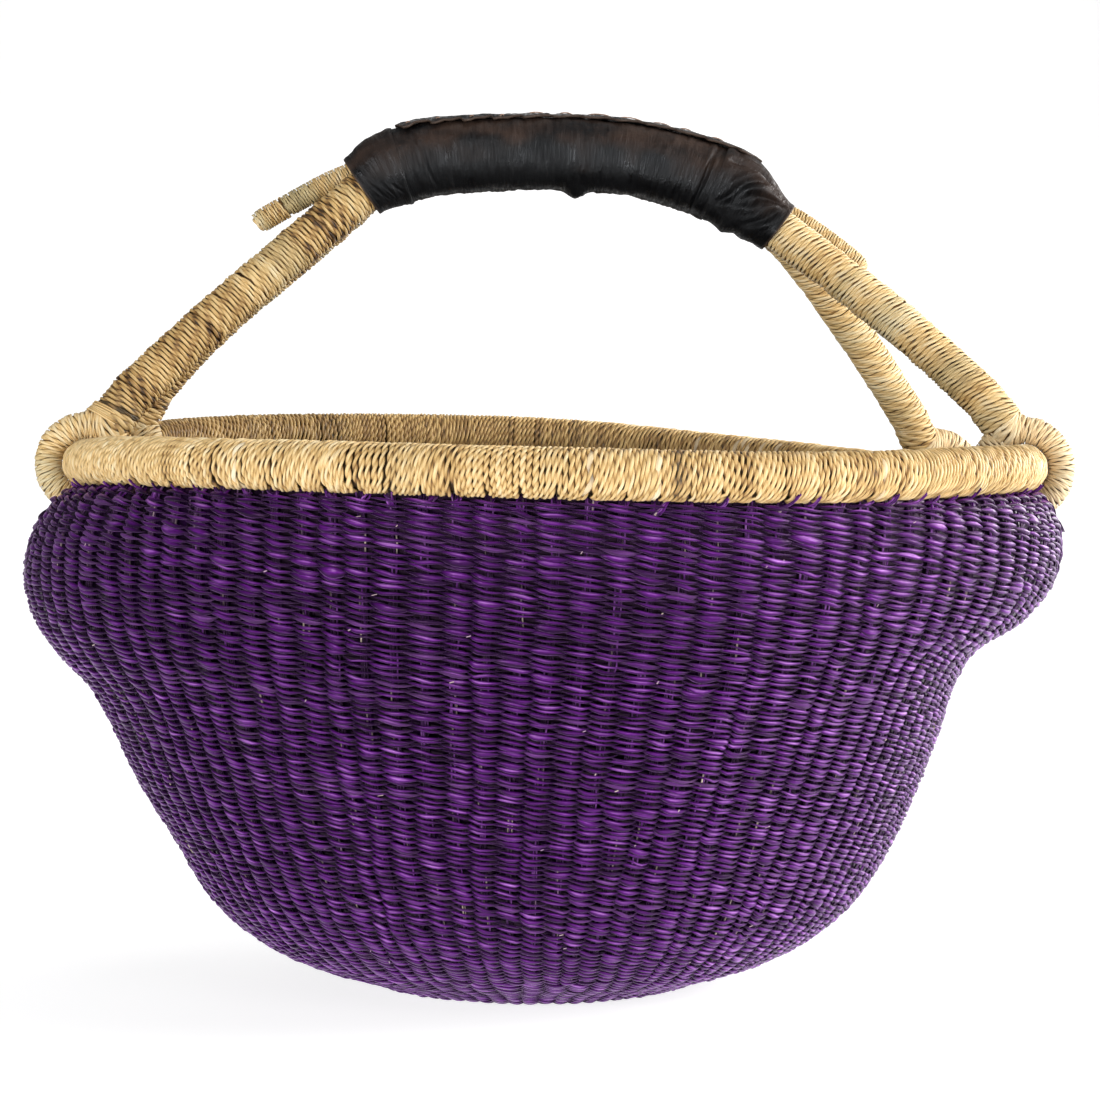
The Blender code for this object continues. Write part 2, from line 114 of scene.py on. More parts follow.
TAIL_LEFT = ((-72.8, 310.6), (-80.4, 307.4), (-88.0, 303.4), (-97.0, 298.5))
TAIL_CAP = ((-98.2, 297.8), (-103.0, 295.0), (-108.6, 291.6))
TAIL_RIGHT = ((101.8, 293.4), (109.0, 288.8), (118.8, 281.7), (125.5, 276.2), (128.6, 272.6))


# --------------------------------------------------------------------- camera
def make_camera():
    data = bpy.data.cameras.new("camera")
    data.sensor_width = 36.0
    data.lens = 118.9
    data.clip_start, data.clip_end = 0.05, 20.0
    cam = bpy.data.objects.new("camera", data)
    scene.collection.objects.link(cam)
    cam.location = (0.0061, -1.4, 0.256)
    cam.rotation_euler = (math.radians(86.30), 0.0, 0.0)
    scene.camera = cam


# --------------------------------------------------------------- curve helpers
def pchip(xs, ys, x):
    n = len(xs)
    h = [xs[i + 1] - xs[i] for i in range(n - 1)]
    d = [(ys[i + 1] - ys[i]) / h[i] for i in range(n - 1)]
    m = [d[0]] + [0.0] * (n - 2) + [d[-1]]
    for i in range(1, n - 1):
        if d[i - 1] * d[i] > 0:
            w1, w2 = 2 * h[i] + h[i - 1], h[i] + 2 * h[i - 1]
            m[i] = (w1 + w2) / (w1 / d[i - 1] + w2 / d[i])
    k = max(0, min(n - 2, sum(1 for v in xs[1:-1] if x >= v)))
    t = (x - xs[k]) / h[k]
    return (
        ys[k] * (1 + 2 * t) * (1 - t) ** 2
        + m[k] * h[k] * t * (1 - t) ** 2
        + ys[k + 1] * t * t * (3 - 2 * t)
        + m[k + 1] * h[k] * t * t * (t - 1)
    )


def cubic(xs, ys, x):
    n = len(xs)
    k = max(0, min(n - 2, sum(1 for v in xs[1:-1] if x >= v)))
    h = xs[k + 1] - xs[k]
    t = (x - xs[k]) / h

    def slope(i):
        a, b = max(0, i - 1), min(n - 1, i + 1)
        return (ys[b] - ys[a]) / (xs[b] - xs[a])

    m0, m1 = slope(k) * h, slope(k + 1) * h
    return (
        ys[k] * (1 + 2 * t) * (1 - t) ** 2
        + m0 * t * (1 - t) ** 2
        + ys[k + 1] * t * t * (3 - 2 * t)
        + m1 * t * t * (t - 1)
    )


def smooth(t):
    t = np.clip(t, 0.0, 1.0)
    return t * t * (3 - 2 * t)


def unit(v):
    return v / np.maximum(np.linalg.norm(v, axis=-1, keepdims=True), 1e-12)


_zs = [row[0] for row in PROFILE]
_zz = np.linspace(0.0, 190.0, 1901)
_left = np.array([pchip(_zs, [r[1] for r in PROFILE], z) for z in _zz])
_right = np.array([pchip(_zs, [r[2] for r in PROFILE], z) for z in _zz])
_front = np.array([pchip(_zs, [r[3] for r in PROFILE], z) for z in _zz])
# arc length up the front profile, counted from the centre of the base
_arc = 64.0 + np.concatenate([[0.0], np.cumsum(np.hypot(np.diff(_front), np.diff(_zz)))])
Q_TOP = float(_arc[-1])
SHOULDER = 8.0  # arc length given to the shoulder between the wall and the rim


def q_of_z(z):
    return float(np.interp(z, _zz, _arc))


def wave(angle):
    n = len(RIM_WAVE)
    table = np.array(RIM_WAVE)
    at = np.mod(np.asarray(angle, float) / (2 * PI) * n, n)
    k = np.floor(at).astype(int)
    t = at - k
    p = [table[(k + i) % n] for i in (-1, 0, 1, 2)]
    return 0.5 * (
        2 * p[1]
        + (p[2] - p[0]) * t
        + (2 * p[0] - 5 * p[1] + 4 * p[2] - p[3]) * t * t
        + (3 * p[1] - p[0] - 3 * p[2] + p[3]) * t**3
    )


def skin_centre(z):
    return RIM_SHIFT * smooth((z - 40.0) / 150.0)


def slot_push(angle, z):
    """How far the rows are pushed down where a loop of the handle passes between the stakes."""
    total = 0.0
    for foot in FEET:
        away = (np.mod(angle - math.radians(foot[1]) + PI, 2 * PI) - PI) * 175.0
        total = total + 9.8 * (1.0 - smooth((np.abs(away) - 5.6) / 13.0))
    return total * smooth((z - 148.0) / 36.0)


def wall_point(angle, q):
    """Point of the basket's outer skin (mm) at an angle and an arc length from the base's centre."""
    z = np.interp(q, _arc, _zz)
    z = z - slot_push(angle, z)
    flat = q < 64.0
    cos, sin = np.cos(angle), np.sin(angle)
    shift = skin_centre(z)
    ear = np.where(cos < 0, np.interp(z, _zz, _left) + shift, np.interp(z, _zz, _right) - shift)
    front = np.interp(z, _zz, _front)
    w = np.abs(cos) ** EAR_POWER
    r = front * (1 - w) + ear * w
    r = np.where(flat, np.maximum(q, 0.5), r)
    lift = wave(angle) * smooth((z - 60.0) / 130.0)
    return np.stack([shift + r * cos, r * sin, np.where(flat, 0.0, z + lift)], axis=-1)


def surface(angle, q):
    """The skin, and past the top of the wall the shoulder that leads in under the rim."""
    p = wall_point(angle, np.minimum(q, Q_TOP))
    over = np.maximum(0.0, q - Q_TOP)[..., None]
    goal = rim_point(angle, 0.6, -RIM_TUBE + 1.2)
    return p + (goal - p) * over / SHOULDER


def surface_frame(angle, q):
    """Point, outward normal and the direction up the wall, with the stretch of the arc length there."""
    e, f = 0.004, 0.6
    p = surface(angle, q)
    up = (surface(angle, q + f) - surface(angle, q - f)) / (2 * f)
    around = (surface(angle + e, q) - surface(angle - e, q)) / (2 * e)
    stretch = np.linalg.norm(up, axis=-1)
    up = unit(up)
    normal = unit(np.cross(around, up))
    return p, normal, up, stretch


def rim_point(angle, out=0.0, up=0.0):
    r = RIM_R + out
    return np.stack(
        [RIM_SHIFT + r * np.cos(angle), r * np.sin(angle), RIM_Z + wave(angle) + up], axis=-1
    )


def table_noise(rng, shape, passes, wrap_axes=(0,)):
    """Random numbers made smooth along the given axes, scaled to about unit size."""
    made = rng.standard_normal(shape)
    for axis in wrap_axes:
        for _ in range(passes):
            made = (np.roll(made, 1, axis) + 2 * made + np.roll(made, -1, axis)) / 4
    return made / max(1e-9, made.std())


# ------------------------------------------------------------- strand builder
class Strands:
    """Collects closed or capped tubes with an elliptical section and turns them into one mesh."""

    def __init__(self):
        self.co, self.grain, self.tone = [], [], []
        self.quads, self.caps, self.jobs = [], [], []
        self.count = 0
        self.rng = np.random.default_rng(7)

    def add(self, path, normal, wide, thick, tone, sides=6, closed=False, section=2.0, phase=0.0, painted_shade_edges=0.0):
        """path (S, M, 3) in mm; wide is the half size across, thick along the normal; tone (S, M, 3);
        the last argument darkens the edge that lies to the right of the run, seen with the normal up, and
        the other edge half as much, as painted shade along the strand's edges."""
        path = np.asarray(path, float)
        s_n, m = path.shape[:2]
        wide = np.broadcast_to(wide, (s_n, m))
        thick = np.broadcast_to(thick, (s_n, m))
        tone = np.broadcast_to(tone, (s_n, m, 3))
        if closed:
            tangent = np.roll(path, -1, 1) - np.roll(path, 1, 1)
        else:
            tangent = np.gradient(path, axis=1)
        tangent = unit(tangent)
        side = unit(np.cross(tangent, normal))
        out = np.cross(side, tangent)
        a = 2 * PI * (np.arange(sides) + phase) / sides
        c, d = np.cos(a), np.sin(a)
        if section != 2.0:
            c = np.sign(c) * np.abs(c) ** (2 / section)
            d = np.sign(d) * np.abs(d) ** (2 / section)
        ring = (
            path[:, :, None]
            + side[:, :, None] * (wide[:, :, None] * c)[..., None]
            + out[:, :, None] * (thick[:, :, None] * d)[..., None]
        )
        step = np.linalg.norm(np.diff(path, axis=1), axis=-1)
        along = np.concatenate([np.zeros((s_n, 1)), np.cumsum(step, 1)], 1)
        ids = self.rng.random((s_n, 1, 1)) * 97.0
        grain = np.stack(
            [
                np.broadcast_to(along[:, :, None] + ids * 5.0, ring.shape[:3]),
                np.broadcast_to(c[None, None] + ids, ring.shape[:3]),
                np.broadcast_to(d[None, None] - ids, ring.shape[:3]),
            ],
            -1,
        )
        index = self.count + np.arange(s_n * m * sides).reshape(s_n, m, sides)
        self.count += s_n * m * sides
        self.co.append(ring.reshape(-1, 3))
        self.grain.append(grain.reshape(-1, 3))
        tones = np.broadcast_to(tone[:, :, None], ring.shape).copy()
        # painted shade: one edge of the strand, the lower one in the weave, is darkened, and the other edge half as
        # much
        if painted_shade_edges:
            tones[..., 0] *= 1.0 - painted_shade_edges * np.clip(c, 0.0, 1.0)
            tones[..., 0] *= 1.0 - 0.5 * painted_shade_edges * np.clip(-2.0 * c - 1.0, 0.0, 1.0)
        self.tone.append(tones.reshape(-1, 3))
        nxt = np.roll(index, -1, 1) if closed else index[:, 1:]
        cur = index if closed else index[:, :-1]
        quads = np.stack([cur, np.roll(cur, -1, 2), np.roll(nxt, -1, 2), nxt], -1)
        # side x tangent points against the normal's sense, so this order faces outward
        self.quads.append(quads[..., ::-1].reshape(-1, 4) if self._inward(ring, index, quads) else quads.reshape(-1, 4))
        length = float(along[:, -1].max())
        girth = float(PI * (np.mean(wide) + np.mean(thick)))
        self.jobs.append((s_n, quads.shape[1], sides, length, girth))
        if not closed:
            flip = self._inward(ring, index, quads)
            first, last = index[:, 0], index[:, -1]
            self.caps.append(first if flip else first[:, ::-1])
            self.caps.append(last[:, ::-1] if flip else last)
        else:
            self.caps.append(np.zeros((0, sides), int))

    @staticmethod
    def _inward(ring, index, quads):
        base = index[0, 0, 0]
        flat = ring.reshape(-1, 3)
        q = flat[quads[0, 0, 0] - base]
        n = np.cross(q[1] - q[0], q[3] - q[0])
        middle = ring[0, 0].mean(0)
        return float(np.dot(n, q.mean(0) - middle)) < 0

    def uvs(self):
        """Every strand gets a strip of its own, all strips the same share of the square."""
        strips = sum(job[0] for job in self.jobs)
        length = max(job[3] for job in self.jobs)
        girth = max(job[4] for job in self.jobs)
        columns = max(1, int(round(math.sqrt(strips * girth / length))))
        rows = int(math.ceil(strips / columns))
        made, k = [], 0
        for s_n, m, sides, _, _ in self.jobs:
            strip = k + np.arange(s_n)
            k += s_n
            u0 = (strip % columns) / columns
            v0 = (strip // columns) / rows
            du, dv = 1.0 / columns, 1.0 / rows
            i = np.arange(m)[None, :, None]
            j = np.arange(sides)[None, None, :]
            low_u = u0[:, None, None] + du * (0.02 + 0.96 * i / m)
            high_u = u0[:, None, None] + du * (0.02 + 0.96 * (i + 1) / m)
            low_v = v0[:, None, None] + dv * (0.08 + 0.84 * j / sides)
            high_v = v0[:, None, None] + dv * (0.08 + 0.84 * (j + 1) / sides)
            shape = (s_n, m, sides)
            corner = [
                np.stack([np.broadcast_to(low_u, shape), np.broadcast_to(low_v, shape)], -1),
                np.stack([np.broadcast_to(low_u, shape), np.broadcast_to(high_v, shape)], -1),
                np.stack([np.broadcast_to(high_u, shape), np.broadcast_to(high_v, shape)], -1),
                np.stack([np.broadcast_to(high_u, shape), np.broadcast_to(low_v, shape)], -1),
            ]
            made.append(np.stack(corner, 3).reshape(-1, 4, 2))
        return made, columns, rows

    def mesh(self, name, material, body, slot, replaces=()):
        co = np.concatenate(self.co) * MM
        uv_blocks, columns, rows = self.uvs()
        quads, uvs = [], []
        for block, uv in zip(self.quads, uv_blocks):
            # a flipped block lists its corners the other way round
            quads.append(block)
            uvs.append(uv)
        k = 0
        faces = np.concatenate(quads)
        uv = np.concatenate(uvs)
        caps, cap_uv = [], []
        for (s_n, m, sides, _, _), cap in zip(self.jobs, self.caps):
            if len(cap):
                strip = k + np.tile(np.arange(s_n), 2)
                end = np.repeat([0.004, 0.99], s_n)
                a = 2 * PI * np.arange(sides) / sides
                u = (strip % columns + end)[:, None] / columns + 0.004 * np.cos(a)[None] / columns
                v = (strip // columns + 0.5)[:, None] / rows + 0.3 * np.sin(a)[None] / rows
                caps.append(cap)
                cap_uv.append(np.stack([u, v], -1))
            k += s_n
        starts = [np.arange(len(faces)) * 4]
        loops, loop_uv = [faces.ravel()], [uv.reshape(-1, 2)]
        at = len(faces) * 4
        for cap, cuv in zip(caps, cap_uv):
            n = cap.shape[1]
            starts.append(at + np.arange(len(cap)) * n)
            loops.append(cap.ravel())
            loop_uv.append(cuv.reshape(-1, 2))
            at += cap.size
        return new_mesh(
            name, co, np.concatenate(loops), np.concatenate(starts), np.concatenate(loop_uv),
            material, body, replaces, np.concatenate(self.grain), np.concatenate(self.tone),
        )


def new_mesh(name, co, loops, starts, uv, material, body, replaces=(), grain=None, tone=None):
    me = bpy.data.meshes.new(name)
    me.vertices.add(len(co))
    me.vertices.foreach_set("co", np.ascontiguousarray(co, np.float32).ravel())
    me.loops.add(len(loops))
    me.loops.foreach_set("vertex_index", np.ascontiguousarray(loops, np.int32))
    me.polygons.add(len(starts))
    me.polygons.foreach_set("loop_start", np.ascontiguousarray(starts, np.int32))
    me.polygons.foreach_set("use_smooth", np.ones(len(starts), bool))
    layer = me.uv_layers.new(name="OFBake")
    layer.data.foreach_set("uv", np.ascontiguousarray(uv, np.float32).ravel())
    me.update(calc_edges=True)
    if grain is not None:
        a = me.attributes.new("grain", "FLOAT_VECTOR", "POINT")
        a.data.foreach_set("vector", np.ascontiguousarray(grain, np.float32).ravel())
    if tone is not None:
        a = me.attributes.new("tone", "FLOAT_VECTOR", "POINT")
        a.data.foreach_set("vector", np.ascontiguousarray(tone, np.float32).ravel())
    me.materials.append(material)
    made = bpy.data.objects.new(name, me)
    scene.collection.objects.link(made)
    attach(made, body)
    if replaces:
        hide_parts(*replaces)
    return made


# ------------------------------------------------------------------ materials
class Nodes:
    """Short calls for building a node tree."""

    def __init__(self, name):
        self.mat = bpy.data.materials.new(name)
        self.mat.use_nodes = True
        self.tree = self.mat.node_tree
        self.shader = self.tree.nodes["Principled BSDF"]

    def node(self, kind, **values):
        made = self.tree.nodes.new(kind)
        for key, value in values.items():
            setattr(made, key, value)
        return made

    def link(self, a, b):
        self.tree.links.new(a, b)

    def attribute(self, name):
        made = self.node("ShaderNodeAttribute", attribute_type="GEOMETRY", attribute_name=name)
        return made.outputs["Vector"]

    def split(self, vector):
        made = self.node("ShaderNodeSeparateXYZ")
        self.link(vector, made.inputs[0])
        return made.outputs

    def scaled(self, vector, by):
        made = self.node("ShaderNodeVectorMath", operation="MULTIPLY")
        self.link(vector, made.inputs[0])
        made.inputs[1].default_value = by
        return made.outputs[0]

    def noise(self, vector, scale=1.0, detail=2.0, rough=0.5):
        made = self.node("ShaderNodeTexNoise")
        if vector is not None:
            self.link(vector, made.inputs["Vector"])
        made.inputs["Scale"].default_value = scale
        made.inputs["Detail"].default_value = detail
        made.inputs["Roughness"].default_value = rough
        return made.outputs["Fac"]

    def ramp(self, value, stops, mode="LINEAR"):
        made = self.node("ShaderNodeValToRGB")
        made.color_ramp.interpolation = mode
        points = made.color_ramp.elements
        while len(points) < len(stops):
            points.new(0.5)
        for point, (at, colour) in zip(points, stops):
            point.position = at
            point.color = (*colour, 1.0) if len(colour) == 3 else colour
        self.link(value, made.inputs[0])
        return made.outputs["Color"]

    def remap(self, value, a, b, c, d, clamp=True):
        made = self.node("ShaderNodeMapRange", clamp=clamp)
        self.link(value, made.inputs["Value"])
        for key, v in (("From Min", a), ("From Max", b), ("To Min", c), ("To Max", d)):
            made.inputs[key].default_value = v
        return made.outputs["Result"]

    def math(self, op, a, b=None):
        made = self.node("ShaderNodeMath", operation=op)
        for slot, v in ((0, a), (1, b)):
            if v is None:
                continue
            if isinstance(v, (int, float)):
                made.inputs[slot].default_value = v
            else:
                self.link(v, made.inputs[slot])
        return made.outputs[0]

    def mix(self, fac, a, b, blend="MIX"):
        made = self.node("ShaderNodeMix", data_type="RGBA", blend_type=blend)
        if isinstance(fac, (int, float)):
            made.inputs[0].default_value = fac
        else:
            self.link(fac, made.inputs[0])
        for slot, v in ((6, a), (7, b)):
            if isinstance(v, tuple):
                made.inputs[slot].default_value = (*v, 1.0)
            else:
                self.link(v, made.inputs[slot])
        return made.outputs[2]

    def bump(self, height, strength, distance):
        made = self.node("ShaderNodeBump")
        made.inputs["Strength"].default_value = strength
        made.inputs["Distance"].default_value = distance
        self.link(height, made.inputs["Height"])
        return made.outputs["Normal"]

    def out(self, colour, rough, normal=None, **values):
        if isinstance(rough, (int, float)):
            self.shader.inputs["Roughness"].default_value = rough
        else:
            self.link(rough, self.shader.inputs["Roughness"])
        self.link(colour, self.shader.inputs["Base Color"])
        if normal is not None:
            self.link(normal, self.shader.inputs["Normal"])
        for key, value in values.items():
            self.shader.inputs[key].default_value = value
        return self.mat


def grass_material(name, stops, faded, pale, streak, rough, spec, bump=0.35, tint=(1.0, 1.0, 1.0), ior=1.5, sheen=0.0, sheen_tint=(1.0, 1.0, 1.0)):
    """Dried grass: tone x picks the shade, which holds the dye's variation and the painted light and shade laid into
    the strands, y fades it, z is the share of undyed or pale fibre.
    """
    n = Nodes(name)
    grain = n.attribute("grain")
    tone = n.split(n.attribute("tone"))
    fine = n.noise(n.scaled(grain, (0.10, 3.2, 3.2)), 1.0, 3.0, 0.6)
    long = n.noise(n.scaled(grain, (0.035, 0.5, 0.5)), 1.0, 2.0)
    shade = n.math("ADD", tone[0], n.remap(long, 0.3, 0.7, -0.12, 0.12))
    colour = n.ramp(shade, stops)
    colour = n.mix(n.math("MULTIPLY", tone[1], 0.85), colour, faded)
    colour = n.mix(tone[2], colour, pale)
    colour = n.mix(1.0, colour, n.ramp(fine, [(0.30, (streak[0],) * 3), (0.5, (1.0,) * 3), (0.72, (streak[1],) * 3)]), "MULTIPLY")
    normal = n.bump(fine, bump, 0.00035)
    r = n.remap(fine, 0.3, 0.7, rough[0], rough[1])
    return n.out(
        colour, r, normal,
        **{"Specular IOR Level": spec, "Specular Tint": (*tint, 1.0), "IOR": ior, "Sheen Weight": sheen, "Sheen Roughness": 0.35, "Sheen Tint": (*sheen_tint, 1.0)},
    )


def leather_material(name):
    n = Nodes(name)
    place = n.attribute("grain")  # x along the grip, y and z round it, in mm
    tone = n.split(n.attribute("tone"))  # x how rubbed brown, y dark crease, z raw cut edge
    blotch = n.noise(n.scaled(place, (0.05, 0.06, 0.06)), 1.0, 4.0, 0.6)
    fibre = n.noise(n.scaled(place, (0.9, 0.9, 0.9)), 1.0, 4.0, 0.65)
    pull = n.noise(n.scaled(place, (0.55, 0.07, 0.07)), 1.0, 3.0, 0.6)
    rub = n.math("MULTIPLY", tone[0], n.remap(blotch, 0.34, 0.62, 0.0, 1.0))
    colour = n.mix(rub, (0.0030, 0.0030, 0.0034), (0.040, 0.0235, 0.0165))
    colour = n.mix(n.math("MULTIPLY", tone[0], n.remap(fibre, 0.60, 0.74, 0.0, 0.45)), colour, (0.090, 0.050, 0.032))
    colour = n.mix(tone[1], colour, (0.003, 0.003, 0.003))
    colour = n.mix(tone[2], colour, (0.16, 0.105, 0.075))
    crinkle = n.noise(n.scaled(place, (1.15, 0.13, 0.13)), 1.0, 3.0, 0.6)
    high = n.math("ADD", n.math("MULTIPLY", fibre, 0.45), n.math("ADD", n.math("MULTIPLY", pull, 0.8), n.math("MULTIPLY", crinkle, 0.9)))
    normal = n.bump(high, 0.75, 0.0006)
    rough = n.math("ADD", n.remap(crinkle, 0.40, 0.62, 0.52, 0.27), n.math("MULTIPLY", rub, 0.25))
    rough = n.math("ADD", rough, n.remap(blotch, 0.40, 0.60, 0.17, -0.10))
    rough = n.math("ADD", rough, n.remap(n.split(place)[1], -13.0, -3.0, 0.30, 0.0))  # duller underneath
    return n.out(colour, rough, normal, **{"Specular IOR Level": 0.60, "Specular Tint": (0.93, 0.96, 1.0, 1.0), "IOR": 1.30})


PURPLE = grass_material(
    "purple_grass",
    [(0.0, (0.0003, 0.0001, 0.0006)), (0.3, (0.0110, 0.0006, 0.0220)), (0.6, (0.073, 0.0064, 0.127)), (1.0, (0.370, 0.145, 0.490))],
    (0.120, 0.050, 0.155), (0.55, 0.46, 0.36), (0.50, 1.95), (0.30, 0.18), 0.75, 0.40, (0.95, 0.50, 1.0), 1.25, 0.34, (0.76, 0.34, 1.0),
)
STRAW = grass_material(
    "natural_straw",
    [(0.0, (0.045, 0.022, 0.008)), (0.14, (0.300, 0.160, 0.052)), (0.32, (0.600, 0.385, 0.145)), (0.6, (0.830, 0.590, 0.275)), (1.0, (0.925, 0.775, 0.490))],
    (0.470, 0.400, 0.215), (0.95, 0.86, 0.68), (0.70, 1.10), (0.56, 0.38), 0.4,
)
# painted shade: the bundles under the rim winding and inside the grip's ends are a darker straw, for the shade they lie
# in
SHADED_BUNDLE = grass_material(
    "dry_bundle_shaded",
    [(0.0, (0.040, 0.022, 0.009)), (0.5, (0.150, 0.088, 0.036)), (1.0, (0.330, 0.205, 0.090))],
    (0.150, 0.110, 0.060), (0.45, 0.33, 0.18), (0.6, 1.2), (0.75, 0.6), 0.3,
)
LEATHER = leather_material("black_leather")
THONG = grass_material(
    "hide_thong",
    [(0.0, (0.160, 0.095, 0.062)), (0.5, (0.330, 0.210, 0.150)), (1.0, (0.520, 0.370, 0.290))],
    (0.30, 0.22, 0.18), (0.55, 0.42, 0.34), (0.7, 1.15), (0.7, 0.55), 0.35,
)


# ------------------------------------------------------------------- the weave
OUT_S = (0.0, 0.1, 0.22, 0.36, 0.5, 0.64, 0.78, 0.9)
IN_S = (0.0, 0.2, 0.4, 0.6, 0.8)
CROSS = 0.13  # how far a stitch reaches over its neighbour, in stakes
CROSS_FRONT = 0.07  # more than that towards the front and the back


def weave_depths(across, q):
    """Size factor, swing of a strand to either side of the stakes, and depth of the stakes' line."""
    size = np.clip(across / 9.0, 0.5, 1.0)
    swing = np.clip(0.19 * across, 0.6, 1.95)
    close = 1.0 - 0.85 * smooth((q - Q_TOP + 1.0) / SHOULDER)  # the last rows are drawn up to the rim
    return size, swing, (0.75 * size + swing + 0.1) * close


def twine(rows, ribs, seed, sway, turn=0.0):
    """Path data of pair-twined rows.  rows is (R,) arc lengths with pitch (R,).  Two strands a row,
    each outside every other stake, dropping from the upper left to the lower right of its stitch."""
    q, pitch = rows
    rng = np.random.default_rng(seed)
    n_rows = len(q)
    made = []
    step = 2 * PI / ribs
    heavy = np.exp(rng.normal(0.0, 0.24, (n_rows, ribs)))
    heavy *= np.where(rng.random((n_rows, ribs)) < 0.05, 1.45, 1.0)
    thin = rng.random((n_rows, ribs)) < 0.10
    heavy = np.where(thin, heavy * 0.62, heavy)
    tilt = rng.normal(0.0, 0.10, (n_rows, ribs))
    bulge = 1.0 + rng.normal(0.0, 0.10, (n_rows, ribs))
    nudge = rng.normal(0.0, 0.12, (n_rows, ribs))
    peak = rng.normal(0.92, 0.14, (n_rows, ribs))
    sag = rng.normal(0.16, 0.06, (n_rows, ribs))
    ride_up = table_noise(rng, (n_rows, ribs), 2, (1,))
    # the shade runs on along a strand until the next piece of grass is laid in
    span = (ribs + 11) // 12
    runs = np.repeat(rng.normal(0.64, 0.07, (n_rows, 2, span)), 12, axis=2)[:, :, :ribs]
    fades = np.repeat(rng.random((n_rows, 2, span)), 12, axis=2)[:, :, :ribs]
    reach = CROSS + CROSS_FRONT * np.abs(np.sin((np.arange(ribs) + 0.5) * step)) ** 3
    for phase in (0, 1):
        index, s, side, x = [], [], [], []
        for j in range(ribs):
            outside = (j + phase) % 2 == 0
            before, after = reach[j - 1], reach[j]
            low = j - 0.5 - (before if outside else -before)
            long = 1.0 + (before + after if outside else -before - after)
            for v in OUT_S if outside else IN_S:
                index.append(j)
                s.append(v)
                side.append(1.0 if outside else -1.0)
                x.append(low + long * v)
        index, s, side, x = np.array(index), np.array(s), np.array(side), np.array(x)
        # stakes sway a little from row to row, and the valleys between them follow
        low, high = np.floor(x).astype(int) % ribs, (np.floor(x).astype(int) + 1) % ribs
        t = x - np.floor(x)
        drift = sway[:n_rows][:, low] * (1 - t) + sway[:n_rows][:, high] * t
        angle = (x[None] + drift) * step + turn
        qq = np.broadcast_to(q[:, None], angle.shape)
        p, normal, up, stretch = surface_frame(angle, qq)
        local = pitch[:, None] * stretch
        across = np.linalg.norm(p[:, :, :2] - np.array([4.0, 0.0]), axis=-1) * step
        size, swing, depth = weave_depths(across, qq)
        bow = np.sin(PI * s)
        body = np.sin(PI * s[None] ** peak[:, index]) ** 1.15
        radial = side * bow**0.75 * swing * bulge[:, index]
        slope = np.where(side > 0, 0.36, 0.30)
        drop = local * (slope * side * np.cos(PI * s) - np.where(side > 0, sag[:, index], 0.0) * bow)
        drop = drop + local * (nudge[:, index] * bow + tilt[:, index] * np.sin(2 * PI * s) * bow + 0.05 * ride_up[:, index])
        wide = local * (0.05 + 0.325 * body * heavy[:, index])
        thick = size * (0.20 + 0.44 * body)
        path = p + normal * (radial - depth)[..., None] + up * drop[..., None]
        tone = np.zeros(angle.shape + (3,))
        shade = runs[:, phase][:, index] + rng.normal(0, 0.07, (n_rows, ribs))[:, index]
        # painted shade: each stitch darkens towards its tips, where it dives between the stakes, and the strands on the
        # inner face are painted far darker, as the shade in the gaps
        tone[..., 0] = np.clip(shade, 0.05, 1) * (0.08 + 0.95 * body**0.9) * np.where(side > 0, 1.0, 0.13)
        tone[..., 0] *= 1.0 + 0.20 * smooth((np.cos(angle) - 0.05) / 0.75)  # painted light: the right side, where the lamp on the right falls, is made a little lighter
        faded = fades[:, phase][:, index]
        tone[..., 1] = np.where(faded > 0.975, 0.40, np.where(faded > 0.90, 0.12, 0.0))
        one = rng.random((n_rows, ribs))
        tone[..., 1] = np.maximum(tone[..., 1], np.where(one > 0.985, 0.45, 0.0)[:, index])
        made.append((path, normal, wide, thick, tone))
    return made


def row_plan():
    """Arc lengths of every row from the base's centre to under the rim, with the local pitch."""
    rows = []
    q = 3.0
    knots_q = [0.0, 60.0, 100.0, q_of_z(45.0), q_of_z(60.0), q_of_z(150.0), q_of_z(165.0), q_of_z(182.0), Q_TOP, Q_TOP + 9.0]
    knots_p = [2.3, 2.35, 2.6, 2.45, 2.12, 2.12, 2.35, 2.45, 2.4, 2.9]
    while q < Q_TOP + 6.2:
        pitch = float(np.interp(q, knots_q, knots_p))
        rows.append((q, pitch))
        q += pitch
    return rows


ZONES = ((3.0, 12), (12.0, 24), (27.0, 44), (50.0, 72), (104.0, 100))  # first arc length, stakes


def make_weave():
    rows = row_plan()
    rng = np.random.default_rng(11)
    bands = []
    for k, (start, ribs) in enumerate(ZONES):
        stop = ZONES[k + 1][0] if k + 1 < len(ZONES) else 1e9
        part = [r for r in rows if start <= r[0] < stop]
        bands.append((part, ribs))
    wall_parts, base_parts = [], []
    for k, (part, ribs) in enumerate(bands):
        # slow sideways drift of each stake, carried from row to row
        sway = 0.08 * table_noise(rng, (len(part), ribs), 9, (0,)) + 0.08 * rng.standard_normal((1, ribs))
        q = np.array([r[0] for r in part])
        pitch = np.array([r[1] for r in part])
        chunk = 9 if ribs >= 100 else 40
        for a in range(0, len(part), chunk):
            b = slice(a, a + chunk)
            strands = Strands()
            strands.rng = np.random.default_rng(100 * k + a)
            for path, normal, wide, thick, tone in twine((q[b], pitch[b]), ribs, 500 + 50 * k + a, sway[b], 0.013 * (k - 4)):
                strands.add(path, normal, wide, thick, tone, 6, True, 2.0, 0.0, 0.92)
            (base_parts if q[a] < q_of_z(10.2) else wall_parts).append(strands)
    for k, strands in enumerate(base_parts):
        strands.mesh("base_weave_rows_%02d" % (k + 1), PURPLE, "basket", "dyed_grass", ("base_weave",))
    for k, strands in enumerate(wall_parts):
        strands.mesh("wall_weave_rows_%02d" % (k + 1), PURPLE, "basket", "dyed_grass", ("wall_weave",))
    make_stakes(bands)


